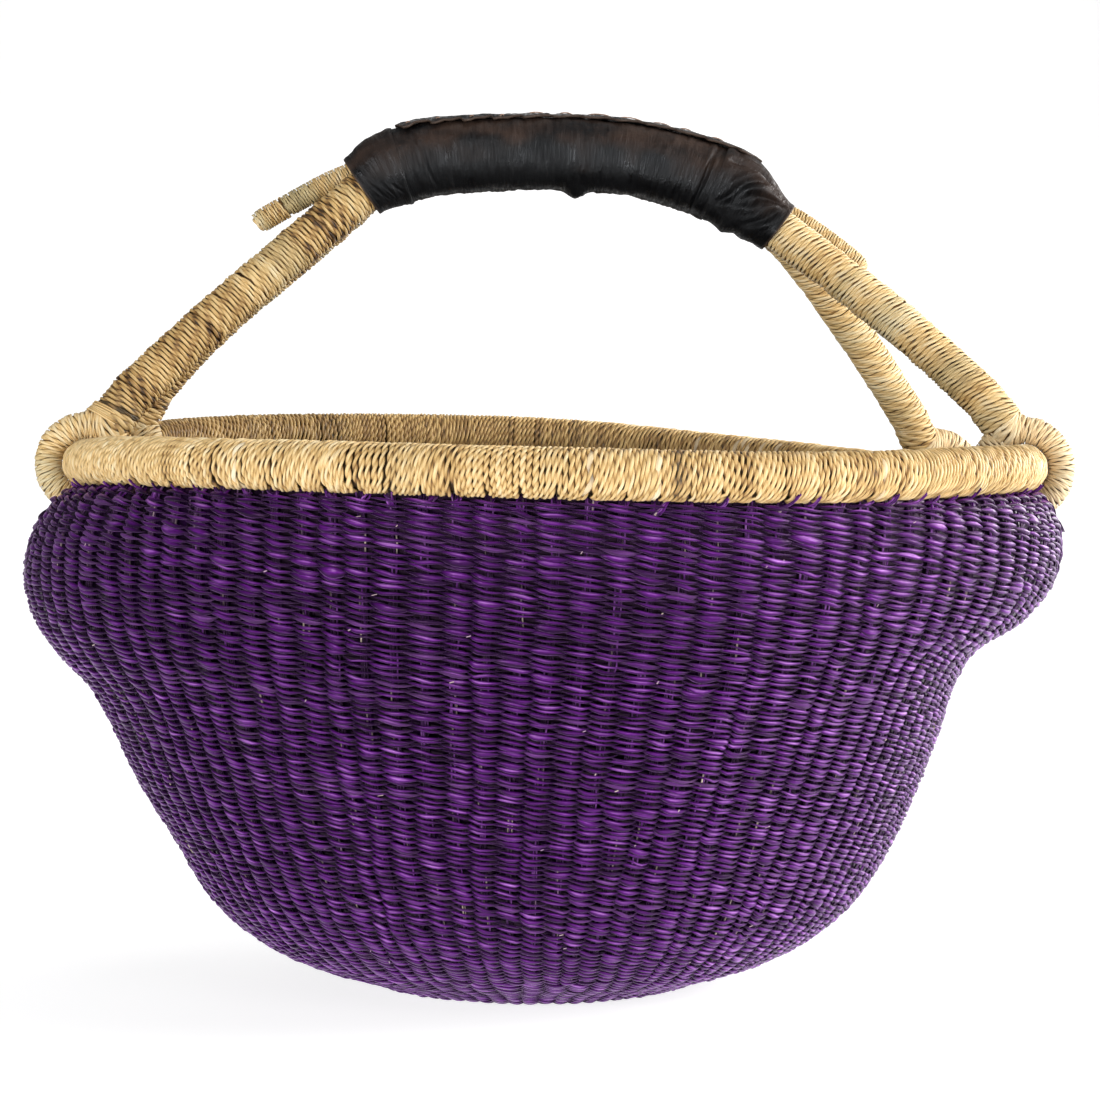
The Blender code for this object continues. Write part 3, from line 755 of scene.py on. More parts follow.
def make_stakes(bands):
    """The bundles of grass that stand up through the rows, seen in the gaps between stitches, painted dark as the shade
    there, with a flat black strip behind them as painted shade in the gaps.
    """
    rng = np.random.default_rng(23)
    strands = Strands()
    for (part, ribs), turn in zip(bands[2:], (-0.026, -0.013, 0.0)):
        q0, q1 = part[0][0] - 1.0, part[-1][0] + 2.0
        m = max(6, int((q1 - q0) / 4.0))
        q = np.linspace(q0, min(q1 + 3.0, Q_TOP + SHOULDER), m)
        for lane, wide_by, thick_by, behind in (
            (-0.110, 0.028, 0.42, 0.0), (-0.040, 0.028, 0.42, -0.2), (0.030, 0.030, 0.42, -0.2), (0.105, 0.026, 0.42, 0.0),
            # painted shade: a flat strip behind the stakes that fills the gaps with black
            (0.0, 0.62, 0.24, 1.0),
        ):
            strip = behind > 0.5
            shake = 0.0 if strip else 0.015
            angle = (np.arange(ribs)[:, None] + lane + rng.normal(0, shake, (ribs, m))) * (2 * PI / ribs) + turn
            p, normal, _, _ = surface_frame(angle, np.broadcast_to(q, angle.shape))
            across = np.linalg.norm(p[:, :, :2] - np.array([4.0, 0.0]), axis=-1) * 2 * PI / ribs
            size, swing, depth = weave_depths(across, np.broadcast_to(q, angle.shape))
            path = p - normal * (depth - (0.0 if strip else 0.62) * swing + behind * 0.1)[..., None]
            tone = np.zeros(angle.shape + (3,))
            high = smooth((q - q_of_z(172.0)) / 14.0)[None]
            # painted light: a few stems in the gaps are painted bright and greyish as if catching the light, fewer
            # towards the left, away from the lamp on the right
            leftward = smooth((-np.cos(np.arange(ribs)[:, None] * 2 * PI / ribs) - 0.25) / 0.4)
            painted_glint = rng.random((ribs, m)) > 0.86 + 0.13 * leftward
            stem = np.where(painted_glint, rng.uniform(0.30, 0.80, (ribs, m)), rng.uniform(0.0, 0.10, (ribs, m)))
            # painted shade: the strip is black and most stems near black, as the shade in the gaps
            tone[..., 0] = 0.0 if strip else np.clip(stem + 0.10 * high, 0, 1)
            if not strip:
                tone[..., 1] = painted_glint * rng.uniform(0.0, 0.9, (ribs, m))
                tone[..., 2] = np.clip(table_noise(rng, (ribs, m), 0, (1,)) - 1.9, 0, 1) * 0.9
            strands.add(path, normal, wide_by * across, thick_by * size, tone, 6 if strip else 5, False, 6.0 if strip else 2.0)
    strands.mesh("stake_bundles", PURPLE, "basket", "dyed_grass")
    # short undyed ends of grass that stick out between the stitches
    strands = Strands()
    count = 120
    angle = rng.random(count)[:, None] * 2 * PI + np.zeros((1, 4))
    q = rng.uniform(q_of_z(18.0), Q_TOP - 1.0, count)[:, None] + np.zeros((1, 4))
    lie = rng.random(count)[:, None] > 0.45
    reach = rng.uniform(0.3, 0.9, count)[:, None]
    t = np.linspace(-1, 1, 4)[None]
    angle = angle + np.where(lie, reach * t * 1.3, 0.25 * t) / 165.0
    q = q + np.where(lie, 0.25 * t, reach * t * 0.7)
    p, normal, _, _ = surface_frame(angle, q)
    path = p - normal * (0.15 + 0.9 * rng.random((count, 1)) * np.ones((1, 4)))[..., None]
    tone = np.zeros(path.shape)
    tone[..., 0] = 0.9
    tone[..., 2] = rng.uniform(0.45, 1.0, (count, 1))
    strands.add(path, normal, rng.uniform(0.13, 0.26, (count, 1)), 0.14, tone, 5)
    strands.mesh("loose_ends", PURPLE, "basket", "dyed_grass")


def make_start():
    """The close coil of grass between the crossed stakes in the middle of the base."""
    rng = np.random.default_rng(29)
    strands = Strands()
    for ring in np.arange(1.2, 31.0, 2.0):
        angle = (2 * PI * np.arange(72) / 72)[None]
        q = np.full(angle.shape, ring)
        p, normal, _, _ = surface_frame(angle, q)
        across = np.linalg.norm(p[:, :, :2] - np.array([4.0, 0.0]), axis=-1) * 2 * PI / 24
        _, _, depth = weave_depths(across, q)
        tone = np.zeros(p.shape)
        tone[..., 0] = 0.16 + 0.06 * rng.random()
        strands.add(p - normal * (depth + 0 * q)[..., None], normal, 1.3, 0.4, tone, 6, True)
    strands.mesh("base_start_coil", PURPLE, "basket", "dyed_grass", ())


def make_border():
    """Stake ends bent up and tucked into the rim: a rough tuft at each stake."""
    rng = np.random.default_rng(31)
    ribs = ZONES[-1][1]
    strands = Strands()
    for j in range(ribs):
        base = j * 2 * PI / ribs
        near = min(abs((base - math.radians(f[1]) + PI) % (2 * PI) - PI) * 178.0 for f in FEET)
        if near < 7.0:
            continue
        lean = rng.normal(0.010, 0.008)
        low = rng.uniform(-0.5, 2.6)
        for lane in range(int(rng.integers(4, 6))):
            offset = (lane - 2) * 0.0042 + rng.normal(0, 0.0010)
            q = np.linspace(Q_TOP + low, Q_TOP + SHOULDER * rng.uniform(0.93, 1.02), 7)[None]
            t = np.linspace(0, 1, 7)[None]
            angle = base + offset * (1.0 - 0.35 * t) + lean * t + rng.normal(0, 0.0012, (1, 7))
            p, normal, up, _ = surface_frame(angle, q)
            swell = rng.uniform(-0.7, 0.5)
            path = p + normal * (-1.3 + (1.3 + swell) * np.sin(PI * np.clip(t, 0, 1)) ** 0.7)[..., None]
            tone = np.zeros(path.shape)
            # painted shade: darker towards both ends, where the stems go in under the rim and into the wall
            tone[..., 0] = np.clip(rng.normal(0.55, 0.14), 0, 1) * (0.5 + 0.5 * np.sin(PI * t))
            tone[..., 1] = 0.5 if rng.random() > 0.9 else 0.0
            tone[..., 2] = 0.6 * (rng.random() > 0.975)
            r = rng.uniform(0.34, 0.58)
            strands.add(path, normal, r * (1.0 - 0.3 * t), 0.8 * r, tone, 6)
        # at the sides the ends stick up in points over the lower edge of the rim
        if rng.random() > 0.18 + 0.72 * float(smooth((abs(math.cos(base)) - 0.30) / 0.40)):
            continue
        reach = rng.uniform(0.55, 1.0)
        peak = base + rng.normal(0.0, 0.008)
        for lane in range(int(rng.integers(3, 6))):
            t = np.linspace(0, 1, 7)[None]
            foot = base + (lane - 2) * 0.0062 + rng.normal(0, 0.0012)
            angle = foot * (1 - t) + (peak + rng.normal(0, 0.0022)) * t
            turn = -0.5 * PI - 0.22 + (0.22 + reach * rng.uniform(0.7, 1.0)) * t
            off = 9.25 + 0.60 * np.sin(PI * t) + 0.45 * t
            path = rim_point(angle, off * np.cos(turn), off * np.sin(turn))
            normal = unit(path - rim_point(angle))
            r = rng.uniform(0.40, 0.68)
            tone = np.zeros(path.shape)
            # painted shade: darker at the foot, under the rim
            tone[..., 0] = np.clip(rng.normal(0.55, 0.13), 0, 1) * (0.55 + 0.45 * t)
            tone[..., 2] = 0.6 * (rng.random() > 0.97)
            strands.add(path, normal, r * (1.0 - 0.55 * t**2), 0.7 * r, tone, 6)
    strands.mesh("stake_ends", PURPLE, "basket", "dyed_grass", ("stake_border",))


# --------------------------------------------------------------------- the rim
def torus(name, radius, material, body, slot, replaces, seed):
    """A bundle of stems round the rim, just inside the winding."""
    rng = np.random.default_rng(seed)
    strands = Strands()
    m = 300
    angle = (2 * PI * np.arange(m) / m)[None]
    path = rim_point(angle)
    normal = np.broadcast_to(np.array([0.0, 0.0, 1.0]), path.shape)
    tone = np.zeros(path.shape)
    # painted shade: kept dark, as it shows only in the gaps between the turns
    tone[..., 0] = np.clip(0.16 + 0.10 * table_noise(rng, (1, m), 3, (1,)), 0, 1)
    strands.add(path, normal, radius, radius, tone, 20, True)
    return strands.mesh(name, material, body, slot, replaces)


def make_rim():
    torus("rim_bundle", 6.9, SHADED_BUNDLE, "basket", "grass_bundle", ("rim_core",), 3)
    turns, steps = 552, 60
    group = ZONES[-1][1]  # the winding goes down between each pair of stakes
    rng = np.random.default_rng(41)
    gap = np.exp(rng.normal(0, 0.09, turns))
    side_by = np.abs(np.cos(np.arange(turns) / turns * 2 * PI)) ** 8  # wound more openly at the two ends
    gap *= 1.0 + 0.42 * side_by
    at = np.arange(turns) / turns * group
    open_at = rng.random(group) > 0.72
    gap += 0.5 * np.exp(-(((at - np.round(at)) * turns / group) / 0.5) ** 2) * open_at[np.round(at).astype(int) % group]
    edges = np.concatenate([[0.0], np.cumsum(gap)])
    edges = edges / edges[-1] * 2 * PI
    lean = 0.7 * table_noise(rng, turns, 30)
    radial = 0.09 * rng.standard_normal(turns)
    wide_ply = np.exp(rng.normal(0, 0.12, (2, turns))) * (1.0 + 0.20 * side_by)
    leaf = rng.random(turns) > 0.975
    wide_ply[0] = np.where(leaf, 1.75, wide_ply[0])
    twists = 4.6 + 0.4 * table_noise(rng, turns, 12)
    twists += 3.0 * smooth((table_noise(rng, turns, 160) - 0.75) / 0.25)  # some batches are twisted harder
    twist_at = np.concatenate([[0.0], np.cumsum(twists)])
    shade = 0.52 + 0.07 * table_noise(rng, turns, 3) + 0.06 * rng.standard_normal(turns)
    grey = np.clip(0.10 * table_noise(rng, turns, 12) - 0.06, 0, 0.35)
    pull_by = rng.uniform(0.20, 0.62, group)
    quarter = turns // 6
    for part in range(6):
        strands = Strands()
        strands.rng = np.random.default_rng(300 + part)
        ks = np.arange(part * quarter, (part + 1) * quarter)
        t = np.arange(steps + 1) / steps
        turn = ks[:, None] + t[None]
        whole, share = np.floor(turn).astype(int) % turns, turn - np.floor(turn)
        angle = edges[whole] * (1 - share) + edges[whole + 1] * share
        phi = 2 * PI * t[None] - PI / 2 + 0 * angle
        # under the rim the turns gather towards the hole between two stakes
        place = angle / (2 * PI) * group
        centre = np.floor(place) + 0.5
        under = smooth((-np.sin(phi) - 0.30) / 0.70)
        side_on = 0.35 + 0.45 * np.abs(np.cos(angle)) ** 1.5 * np.where(np.cos(angle) < 0, 0.75, 1.0)
        pull = pull_by[np.floor(place).astype(int) % group] * side_on * under * (centre - place) / group * 2 * PI
        slant = (lean[whole] * (1 - share) + lean[(whole + 1) % turns] * share) / RIM_R
        spin = 2 * PI * (twist_at[whole] * (1 - share) + twist_at[whole + 1] * share)
        angle = angle + pull + slant * np.cos(phi - 0.3)
        centre_line = rim_point(angle)
        outward = np.stack([np.cos(angle), np.sin(angle), 0 * angle], -1)
        rise = np.zeros_like(outward)
        rise[..., 2] = 1.0
        radius_dir = outward * np.cos(phi)[..., None] + rise * np.sin(phi)[..., None]
        along_rim = np.stack([-np.sin(angle), np.cos(angle), 0 * angle], -1)
        base_r = RIM_TUBE - 0.98 + radial[whole] * (1 - share) + radial[(whole + 1) % turns] * share
        for ply in (0, 1):
            a = spin + PI * ply
            rho = 0.55
            path = centre_line + radius_dir * (base_r + 0.75 * rho * np.cos(a))[..., None] + along_rim * (rho * np.sin(a))[..., None]
            wide = 0.61 * wide_ply[ply][whole] + 0 * angle
            thick = np.where(leaf[whole] & (ply == 0), 0.40, 0.53) + 0 * angle
            tone = np.zeros(angle.shape + (3,))
            own = rng.normal(0, 0.085, turns)
            inside = smooth((-np.cos(phi) - 0.05) / 0.7)  # painted shade: darker, greyer and less varied where it faces into the basket
            # painted shade: each ply is also darker where it turns in deep in the cord
            tone[..., 0] = np.clip(0.52 + (shade[whole] - 0.52 + own[whole] + 0.25 * np.cos(a) - 0.10) * (1.0 - 0.55 * inside) - 0.27 * inside, 0, 1)
            # painted shade: the outer side is made darker towards the right, where the lamp on the right falls
            # strongest
            tone[..., 0] *= 1.0 - 0.16 * smooth((np.cos(angle) - 0.15) / 0.5) * (1.0 - inside)
            tone[..., 1] = np.clip(grey[whole] + 0.06 * inside, 0, 1)
            tone[..., 2] = np.where(leaf[whole], 0.35, 0.0) * (ply == 0)
            strands.add(path, radius_dir, wide, thick, tone, 6)
        names = ("rim_wrap",) if part == 0 else ()
        strands.mesh("rim_winding_%d" % (part + 1), STRAW, "basket", "natural_straw", names)


# ------------------------------------------------------------------ the handle
def grip_table():
    lengths = [0.0]
    for a, b in zip(GRIP, GRIP[1:]):
        lengths.append(lengths[-1] + math.hypot(b[0] - a[0], b[1] - a[1]))
    return lengths


GRIP_AT = grip_table()
GRIP_LONG = GRIP_AT[-1]
_gs = np.linspace(0.0, GRIP_LONG, 801)
_gv = [np.array([cubic(GRIP_AT, [g[k] for g in GRIP], s) for s in _gs]) for k in range(4)]


def grip_at(s):
    """Centre, tangent, half height and half width (arrays) at s mm along the grip."""
    s = np.asarray(s, float)
    inner = np.clip(s, 0.0, GRIP_LONG)
    lo, hi = np.clip(inner - 1.0, 0, GRIP_LONG), np.clip(inner + 1.0, 0, GRIP_LONG)
    x, z = np.interp(inner, _gs, _gv[0]), np.interp(inner, _gs, _gv[1])
    t = np.stack([np.interp(hi, _gs, _gv[0]) - np.interp(lo, _gs, _gv[0]), 0 * s, np.interp(hi, _gs, _gv[1]) - np.interp(lo, _gs, _gv[1])], -1)
    t = unit(t)
    centre = np.stack([x, 0 * s + GRIP_Y, z], -1) + t * (s - inner)[..., None]
    return centre, t, np.interp(inner, _gs, _gv[2]), np.interp(inner, _gs, _gv[3])


def grip_surface(s, t, inset=0.0):
    """Point and normal on the leather; t is the angle from the top, positive to the back."""
    centre, tangent, a, b = grip_at(s)
    up = np.stack([-tangent[..., 2], 0 * s, tangent[..., 0]], -1)
    back = np.zeros_like(up)
    back[..., 1] = 1.0

    def at(angle):
        c, q = np.cos(angle), np.sin(angle)
        c = np.sign(c) * np.abs(c) ** (2 / GRIP_SQUARE)
        q = np.sign(q) * np.abs(q) ** (2 / GRIP_SQUARE)
        return up * ((a - inset) * c)[..., None] + back * ((b - inset) * q)[..., None]

    p = at(t)
    e = 0.02
    d = at(t + e) - at(t - e)
    normal = unit(np.cross(d, np.broadcast_to(tangent, d.shape)))
    flip = np.sum(normal * p, -1, keepdims=True) < 0
    normal = np.where(flip, -normal, normal)
    return centre + p, normal


def tube_mesh(name, outer, inner, place, tone, material, body, replaces):
    """A tube from two grids (rings, around, 3) in mm, joined at both open ends."""
    n, m = outer.shape[:2]
    co = np.concatenate([outer.reshape(-1, 3), inner[::-1].reshape(-1, 3)]) * MM
    grain = np.concatenate([place.reshape(-1, 3), place[::-1].reshape(-1, 3)])
    tones = np.concatenate([tone.reshape(-1, 3), tone[::-1].reshape(-1, 3)])
    rings = 2 * n
    index = np.arange(rings * m).reshape(rings, m)
    a, b = index, np.roll(index, -1, 0)
    quads = np.stack([a, np.roll(a, -1, 1), np.roll(b, -1, 1), b], -1).reshape(-1, 4)
    i = np.arange(rings)[:, None] / rings
    j = np.arange(m)[None] / m
    di, dj = 1 / rings, 1 / m
    uv = np.stack(
        [
            np.stack([j + 0 * i, i + 0 * j], -1),
            np.stack([j + dj + 0 * i, i + 0 * j], -1),
            np.stack([j + dj + 0 * i, i + di + 0 * j], -1),
            np.stack([j + 0 * i, i + di + 0 * j], -1),
        ],
        2,
    ).reshape(-1, 4, 2)
    p = co[quads[0]]
    middle = outer[0].mean(0) * MM
    if np.dot(np.cross(p[1] - p[0], p[3] - p[0]), p.mean(0) - middle) < 0:
        quads, uv = quads[:, ::-1], uv[:, ::-1]
    return new_mesh(name, co, quads.ravel(), np.arange(len(quads)) * 4, uv.reshape(-1, 2) * 0.98 + 0.01, material, body, replaces, grain, tones)


def value_noise(x, y, seed, period=None):
    """Smooth random values on a grid, for the folds of the leather."""
    rng = np.random.default_rng(seed)
    table = rng.standard_normal((64, 64))
    xi, yi = np.floor(x).astype(int), np.floor(y).astype(int)
    fx, fy = smooth(x - xi), smooth(y - yi)
    wrap = period or 64

    def pick(a, b):
        return table[a % 64, (b % wrap) % 64]

    return (
        pick(xi, yi) * (1 - fx) * (1 - fy)
        + pick(xi + 1, yi) * fx * (1 - fy)
        + pick(xi, yi + 1) * (1 - fx) * fy
        + pick(xi + 1, yi + 1) * fx * fy
    )


def crease(s, t, s0, t0, s1, t1, width, depth):
    """A dent along the line from (s0, t0) to (s1, t1), s in mm, t in degrees (15 mm of leather is 1 radian)."""
    ax, ay = s0, math.radians(t0) * 15.0
    bx, by = s1, math.radians(t1) * 15.0
    tt = (t + PI) % (2 * PI) - PI
    px, py = s - ax, tt * 15.0 - ay
    dx, dy = bx - ax, by - ay
    length2 = dx * dx + dy * dy
    k = np.clip((px * dx + py * dy) / length2, 0, 1)
    away = np.hypot(px - k * dx, py - k * dy)
    ends = np.sin(PI * np.clip(k, 0.0, 1.0)) ** 0.5
    return -depth * np.exp(-((away / width) ** 2)) * np.clip(ends + 0.25, 0, 1) + 0.45 * depth * np.exp(-(((away - 2.0 * width) / width) ** 2)) * ends


def leather_tube(name, s0, s1, count, around, push, replaces, extra=0.0):
    s = np.linspace(s0, s1, count)[:, None] + np.zeros((1, around))
    t = (2 * PI * np.arange(around) / around)[None] + np.zeros((count, 1))
    p, normal = grip_surface(s, t)
    lump, tone = push(s, t)
    outer = p + normal * (lump + extra)[..., None]
    inner_p, _ = grip_surface(s, t, 1.4)
    inner = inner_p + normal * np.minimum(0.0, lump + extra)[..., None]
    place = np.stack([s, 15.0 * np.cos(t), 15.0 * np.sin(t)], -1)
    return tube_mesh(name, outer, inner, place, tone, LEATHER, "handle", replaces)


def base_tone(s, t):
    """The leather is rubbed brown on its upper side and blacker and smoother below."""
    top = np.cos(t)
    front = -np.sin(t)
    tone = np.zeros(s.shape + (3,))
    tone[..., 0] = smooth((top + 0.15 + 0.22 * value_noise(s / 9.0, t * 3.0, 5)) / 0.75)
    return tone


def cover_push(s, t):
    fine = 0.14 * value_noise(s / 2.4, t * 2.0 + 9, 1) + 0.11 * value_noise(s / 1.15, t * 2.6 + 30, 2)
    slow = 0.22 * value_noise(s / 16.0, t * 1.6, 3)
    lump = fine + slow - 0.35
    lump += crease(s, t, 22.0, -15, 31.0, -140, 0.6, 0.35)
    lump += crease(s, t, GRIP_LONG - 34.0, -22, GRIP_LONG - 36.5, -150, 0.8, 0.9)
    # the two edges of the cover are turned out along the underside seam
    under = (t - PI + PI) % (2 * PI) - PI
    seam = np.abs((t % (2 * PI)) - PI)
    lump += 0.55 * np.exp(-((seam * 15.0 / 1.1) ** 2)) * (1 + 0.35 * value_noise(s / 4.0, 0 * s, 8))
    # a small pucker hangs below the middle
    lump += 3.4 * np.exp(-((s - 87.0) / 4.2) ** 2) * np.exp(-(((t % (2 * PI)) - PI - 0.15) * 15.0 / 4.5) ** 2)
    tone = base_tone(s, t)
    tone[..., 1] = 0.9 * np.exp(-((np.abs(seam * 15.0 - 2.2)) / 0.6) ** 2)
    tone[..., 2] = 0.35 * np.exp(-((seam * 15.0 / 0.7) ** 2))
    return lump, tone


def cuff_right_push(s, t):
    d = s - (GRIP_LONG - CUFF_RIGHT)
    lump = 0.30 * value_noise(s / 6.0, t * 2.0, 12) + 0.14 * value_noise(s / 2.0, t * 4.0, 13) - 0.25
    lump += crease(s, t, GRIP_LONG - 27.0, -112, GRIP_LONG - 14.0, -52, 1.3, 1.5)
    lump += crease(s, t, GRIP_LONG - 29.5, -60, GRIP_LONG - 12.0, -38, 1.4, 1.5)
    lump += crease(s, t, GRIP_LONG - 22.0, -100, GRIP_LONG - 6.0, -68, 1.5, 1.4)
    lump += crease(s, t, GRIP_LONG - 15.0, -90, GRIP_LONG - 3.5, -62, 1.1, 1.2)
    lump += crease(s, t, GRIP_LONG - 12.0, -128, GRIP_LONG - 4.0, -80, 1.2, 1.0)
    lump += crease(s, t, GRIP_LONG - 26.0, 60, GRIP_LONG - 8.0, 110, 1.5, 1.3)
    lump += crease(s, t, GRIP_LONG - 20.0, 160, GRIP_LONG - 4.0, 120, 1.5, 1.2)
    # a soft ridge runs round just past the joint, and the mouth flares where it is cut
    lump += 0.5 * np.exp(-((d - 2.2) / 1.8) ** 2) + 0.5 * np.exp(-((d - CUFF_RIGHT) / 1.6) ** 2)
    lump -= 2.6 * smooth((d - 8.0) / 16.0) * smooth(np.cos(t) * 1.25)
    below = smooth((-np.cos(t) - 0.2) / 0.6)
    lump += below * (1.1 * np.exp(-((d - 13.0) / 3.0) ** 2) + 0.9 * np.exp(-((d - 22.0) / 2.4) ** 2) - 0.5)
    tone = base_tone(s, t)
    tone[..., 0] *= 0.8
    tone[..., 2] = 0.5 * np.exp(-((d - CUFF_RIGHT) / 0.5) ** 2)
    return lump, tone


def cuff_left_push(s, t):
    lump = 0.24 * value_noise(s / 6.0, t * 2.0, 22) + 0.12 * value_noise(s / 1.6, t * 4.0, 23) - 0.2
    for k in range(3):
        lump += crease(s, t, 3.0 + 4.1 * k, -88 - 9 * k, 7.0 + 4.4 * k, -140 + 5 * k, 0.6, 0.30)
    lump += crease(s, t, 4.0, 70, 15.0, 120, 1.2, 1.0)
    lump += 0.45 * np.exp(-((s - 16.8) / 1.2) ** 2) + 0.45 * np.exp(-((s - 0.0) / 1.4) ** 2)
    tone = base_tone(s, t)
    tone[..., 2] = 0.5 * np.exp(-((s - 0.0) / 0.5) ** 2)
    return lump, tone


def make_flap():
    """The top seam: two turned-over edges of leather, cut unevenly, and the thong that laces them."""
    s0, s1 = CUFF_LEFT + 1.5, GRIP_LONG - 19.0
    count = 240
    s = np.linspace(s0, s1, count)
    rng = np.random.default_rng(51)
    cells = 11.3
    place = (s - s0) / cells
    lobe = 1.0 - (place - np.floor(place))  # each lobe is deepest at its left end and laps over the next
    lobe = lobe * smooth((1.0 - lobe) / 0.12)
    left_more = smooth((95.0 - s) / 70.0)
    ends = smooth((s - s0) / 3.0) * smooth((s1 - s) / 9.0)
    reach_front = (5.6 + 1.6 * left_more + (2.6 + 2.2 * left_more) * lobe + 0.35 * value_noise(s / 3.0, 0 * s, 61)) * (0.35 + 0.65 * ends)
    reach_back = (6.0 + 2.0 * lobe[::-1] + 0.7 * value_noise(s / 4.0, 0 * s, 63)) * (0.35 + 0.65 * ends)
    zig = lobe
    for name, low, high, lift in (("seam_flap_front", -reach_front, 0 * s + 2.0, 0.62), ("seam_flap_back", 0 * s - 1.5, reach_back, 0.25)):
        across = 15
        k = np.linspace(0, 1, across)[None]
        arc = (low[:, None] * (1 - k) + high[:, None] * k) / 15.0
        ss = s[:, None] + 0 * arc
        p, normal = grip_surface(ss, arc)
        edge = np.abs((1 - k) if name == "seam_flap_front" else k)
        curl = lift + 0.55 * edge**2.2 * (0.35 + 0.8 * zig[:, None]) + 0.16 * value_noise(ss / 2.4, arc * 9, 71)
        curl = curl * (0.3 + 0.7 * ends[:, None])
        top = p + normal * (curl + 0.75)[..., None]
        bottom = p + normal * (curl - 0.15)[..., None]
        sheet_mesh(name, top, bottom, ss, arc, edge + 0 * arc, ("seam_flap",) if name == "seam_flap_front" else ())
    # the thong runs along the seam, in and out of the flap, and shows as short flat pieces
    strands = Strands()
    for k in range(int((s1 - s0 - 8) / cells)):
        a = s0 + 3.0 + (k + rng.uniform(-0.08, 0.08)) * cells
        rubbed = a < 60.0
        long = 1.4 if rubbed else rng.uniform(4.0, 8.5)
        t = np.linspace(0, 1, 14)[None]
        arc = ((-7.8 if rubbed else -2.6) + (1.0 if rubbed else 3.6) * t) / 15.0
        ss = a + long * t
        p, normal = grip_surface(ss, arc)
        high = 1.20 + (0.75 if rubbed else 0.72) * np.sin(PI * t) ** 0.5
        path = p + normal * high[..., None]
        tone = np.zeros(path.shape)
        tone[..., 0] = rng.uniform(0.25, 0.6)
        strands.add(path, normal, 0.42 if rubbed else 0.62, 0.24, tone, 6, False, 3.0)
    strands.mesh("seam_thong", THONG, "handle", "hide_thong", ("seam_lacing",))


def sheet_mesh(name, top, bottom, s, arc, edge, replaces):
    """A thin strip with two faces and closed edges."""
    n, m = top.shape[:2]
    ring = np.concatenate([top, bottom[:, ::-1]], 1)
    k = 2 * m
    co = ring.reshape(-1, 3) * MM
    ss = np.concatenate([s, s[:, ::-1]], 1)
    aa = np.concatenate([arc, arc[:, ::-1]], 1)
    ee = np.concatenate([edge, edge[:, ::-1]], 1)
    place = np.stack([ss, 15 * np.cos(aa) + 40.0, 15 * np.sin(aa)], -1).reshape(-1, 3)
    tone = np.zeros(ring.shape)
    tone[..., 0] = 0.35
    tone[..., 2] = 0.32 * smooth((ee - 0.93) / 0.07)
    index = np.arange(n * k).reshape(n, k)
    a, b = index[:-1], index[1:]
    quads = np.stack([a, np.roll(a, -1, 1), np.roll(b, -1, 1), b], -1).reshape(-1, 4)
    i, j = np.arange(n - 1)[:, None] / n, np.arange(k)[None] / k
    uv = np.stack(
        [
            np.stack([i + 0 * j, j + 0 * i], -1),
            np.stack([i + 0 * j, j + 1 / k + 0 * i], -1),
            np.stack([i + 1 / n + 0 * j, j + 1 / k + 0 * i], -1),
            np.stack([i + 1 / n + 0 * j, j + 0 * i], -1),
        ],
        2,
    ).reshape(-1, 4, 2)
    p = co[quads[m // 2]]
    middle = ring[0].mean(0) * MM
    flip = np.dot(np.cross(p[1] - p[0], p[3] - p[0]), p.mean(0) - middle) < 0
    if flip:
        quads, uv = quads[:, ::-1], uv[:, ::-1]
    caps = np.concatenate([index[0][None], index[-1][None][:, ::-1]])
    if not flip:
        caps = caps[:, ::-1]
    loops = np.concatenate([quads.ravel(), caps.ravel()])
    starts = np.concatenate([np.arange(len(quads)) * 4, quads.size + np.array([0, k])])
    cap_uv = np.stack([np.linspace(0.985, 0.999, k), np.full(k, 0.5)], -1)
    uvs = np.concatenate([uv.reshape(-1, 2) * 0.97 + 0.005, cap_uv, cap_uv])
    return new_mesh(name, co, loops, starts, uvs, LEATHER, "handle", replaces, place, tone.reshape(-1, 3))


def arm_axis(foot):
    """The arm's bowed axis as functions, as the solids have it."""
    _, degrees, side, row, _, bow, peak, out, high_by = foot
    angle = math.radians(degrees)
    low = rim_point(angle, out, high_by)
    c, t, _, _ = grip_at(np.array(0.0 if side < 0 else GRIP_LONG))
    up = np.array([-t[2], 0.0, t[0]])
    high = c + np.array([0.0, ARM_SPREAD * row, 0.0]) - up * ARM_DROP
    run = unit(low - high)
    lift = unit(np.array([0.0, 0.0, 1.0]) - run * run[2])
    power = peak / (1.0 - peak)
    top = peak**power * (1.0 - peak)

    def at(v):
        v = np.asarray(v, float)[..., None]
        inner = np.clip(v, 0.0, 1.0)
        return high * (1 - v) + low * v + lift * (bow * inner**power * (1.0 - inner) / top)

    def along(v):
        v = np.asarray(v, float)
        return unit(at(np.clip(v + 0.02, 0, 1)) - at(np.clip(v - 0.02, 0, 1)))

    return at, along, (t if side < 0 else -t), angle, float(np.linalg.norm(low - high))


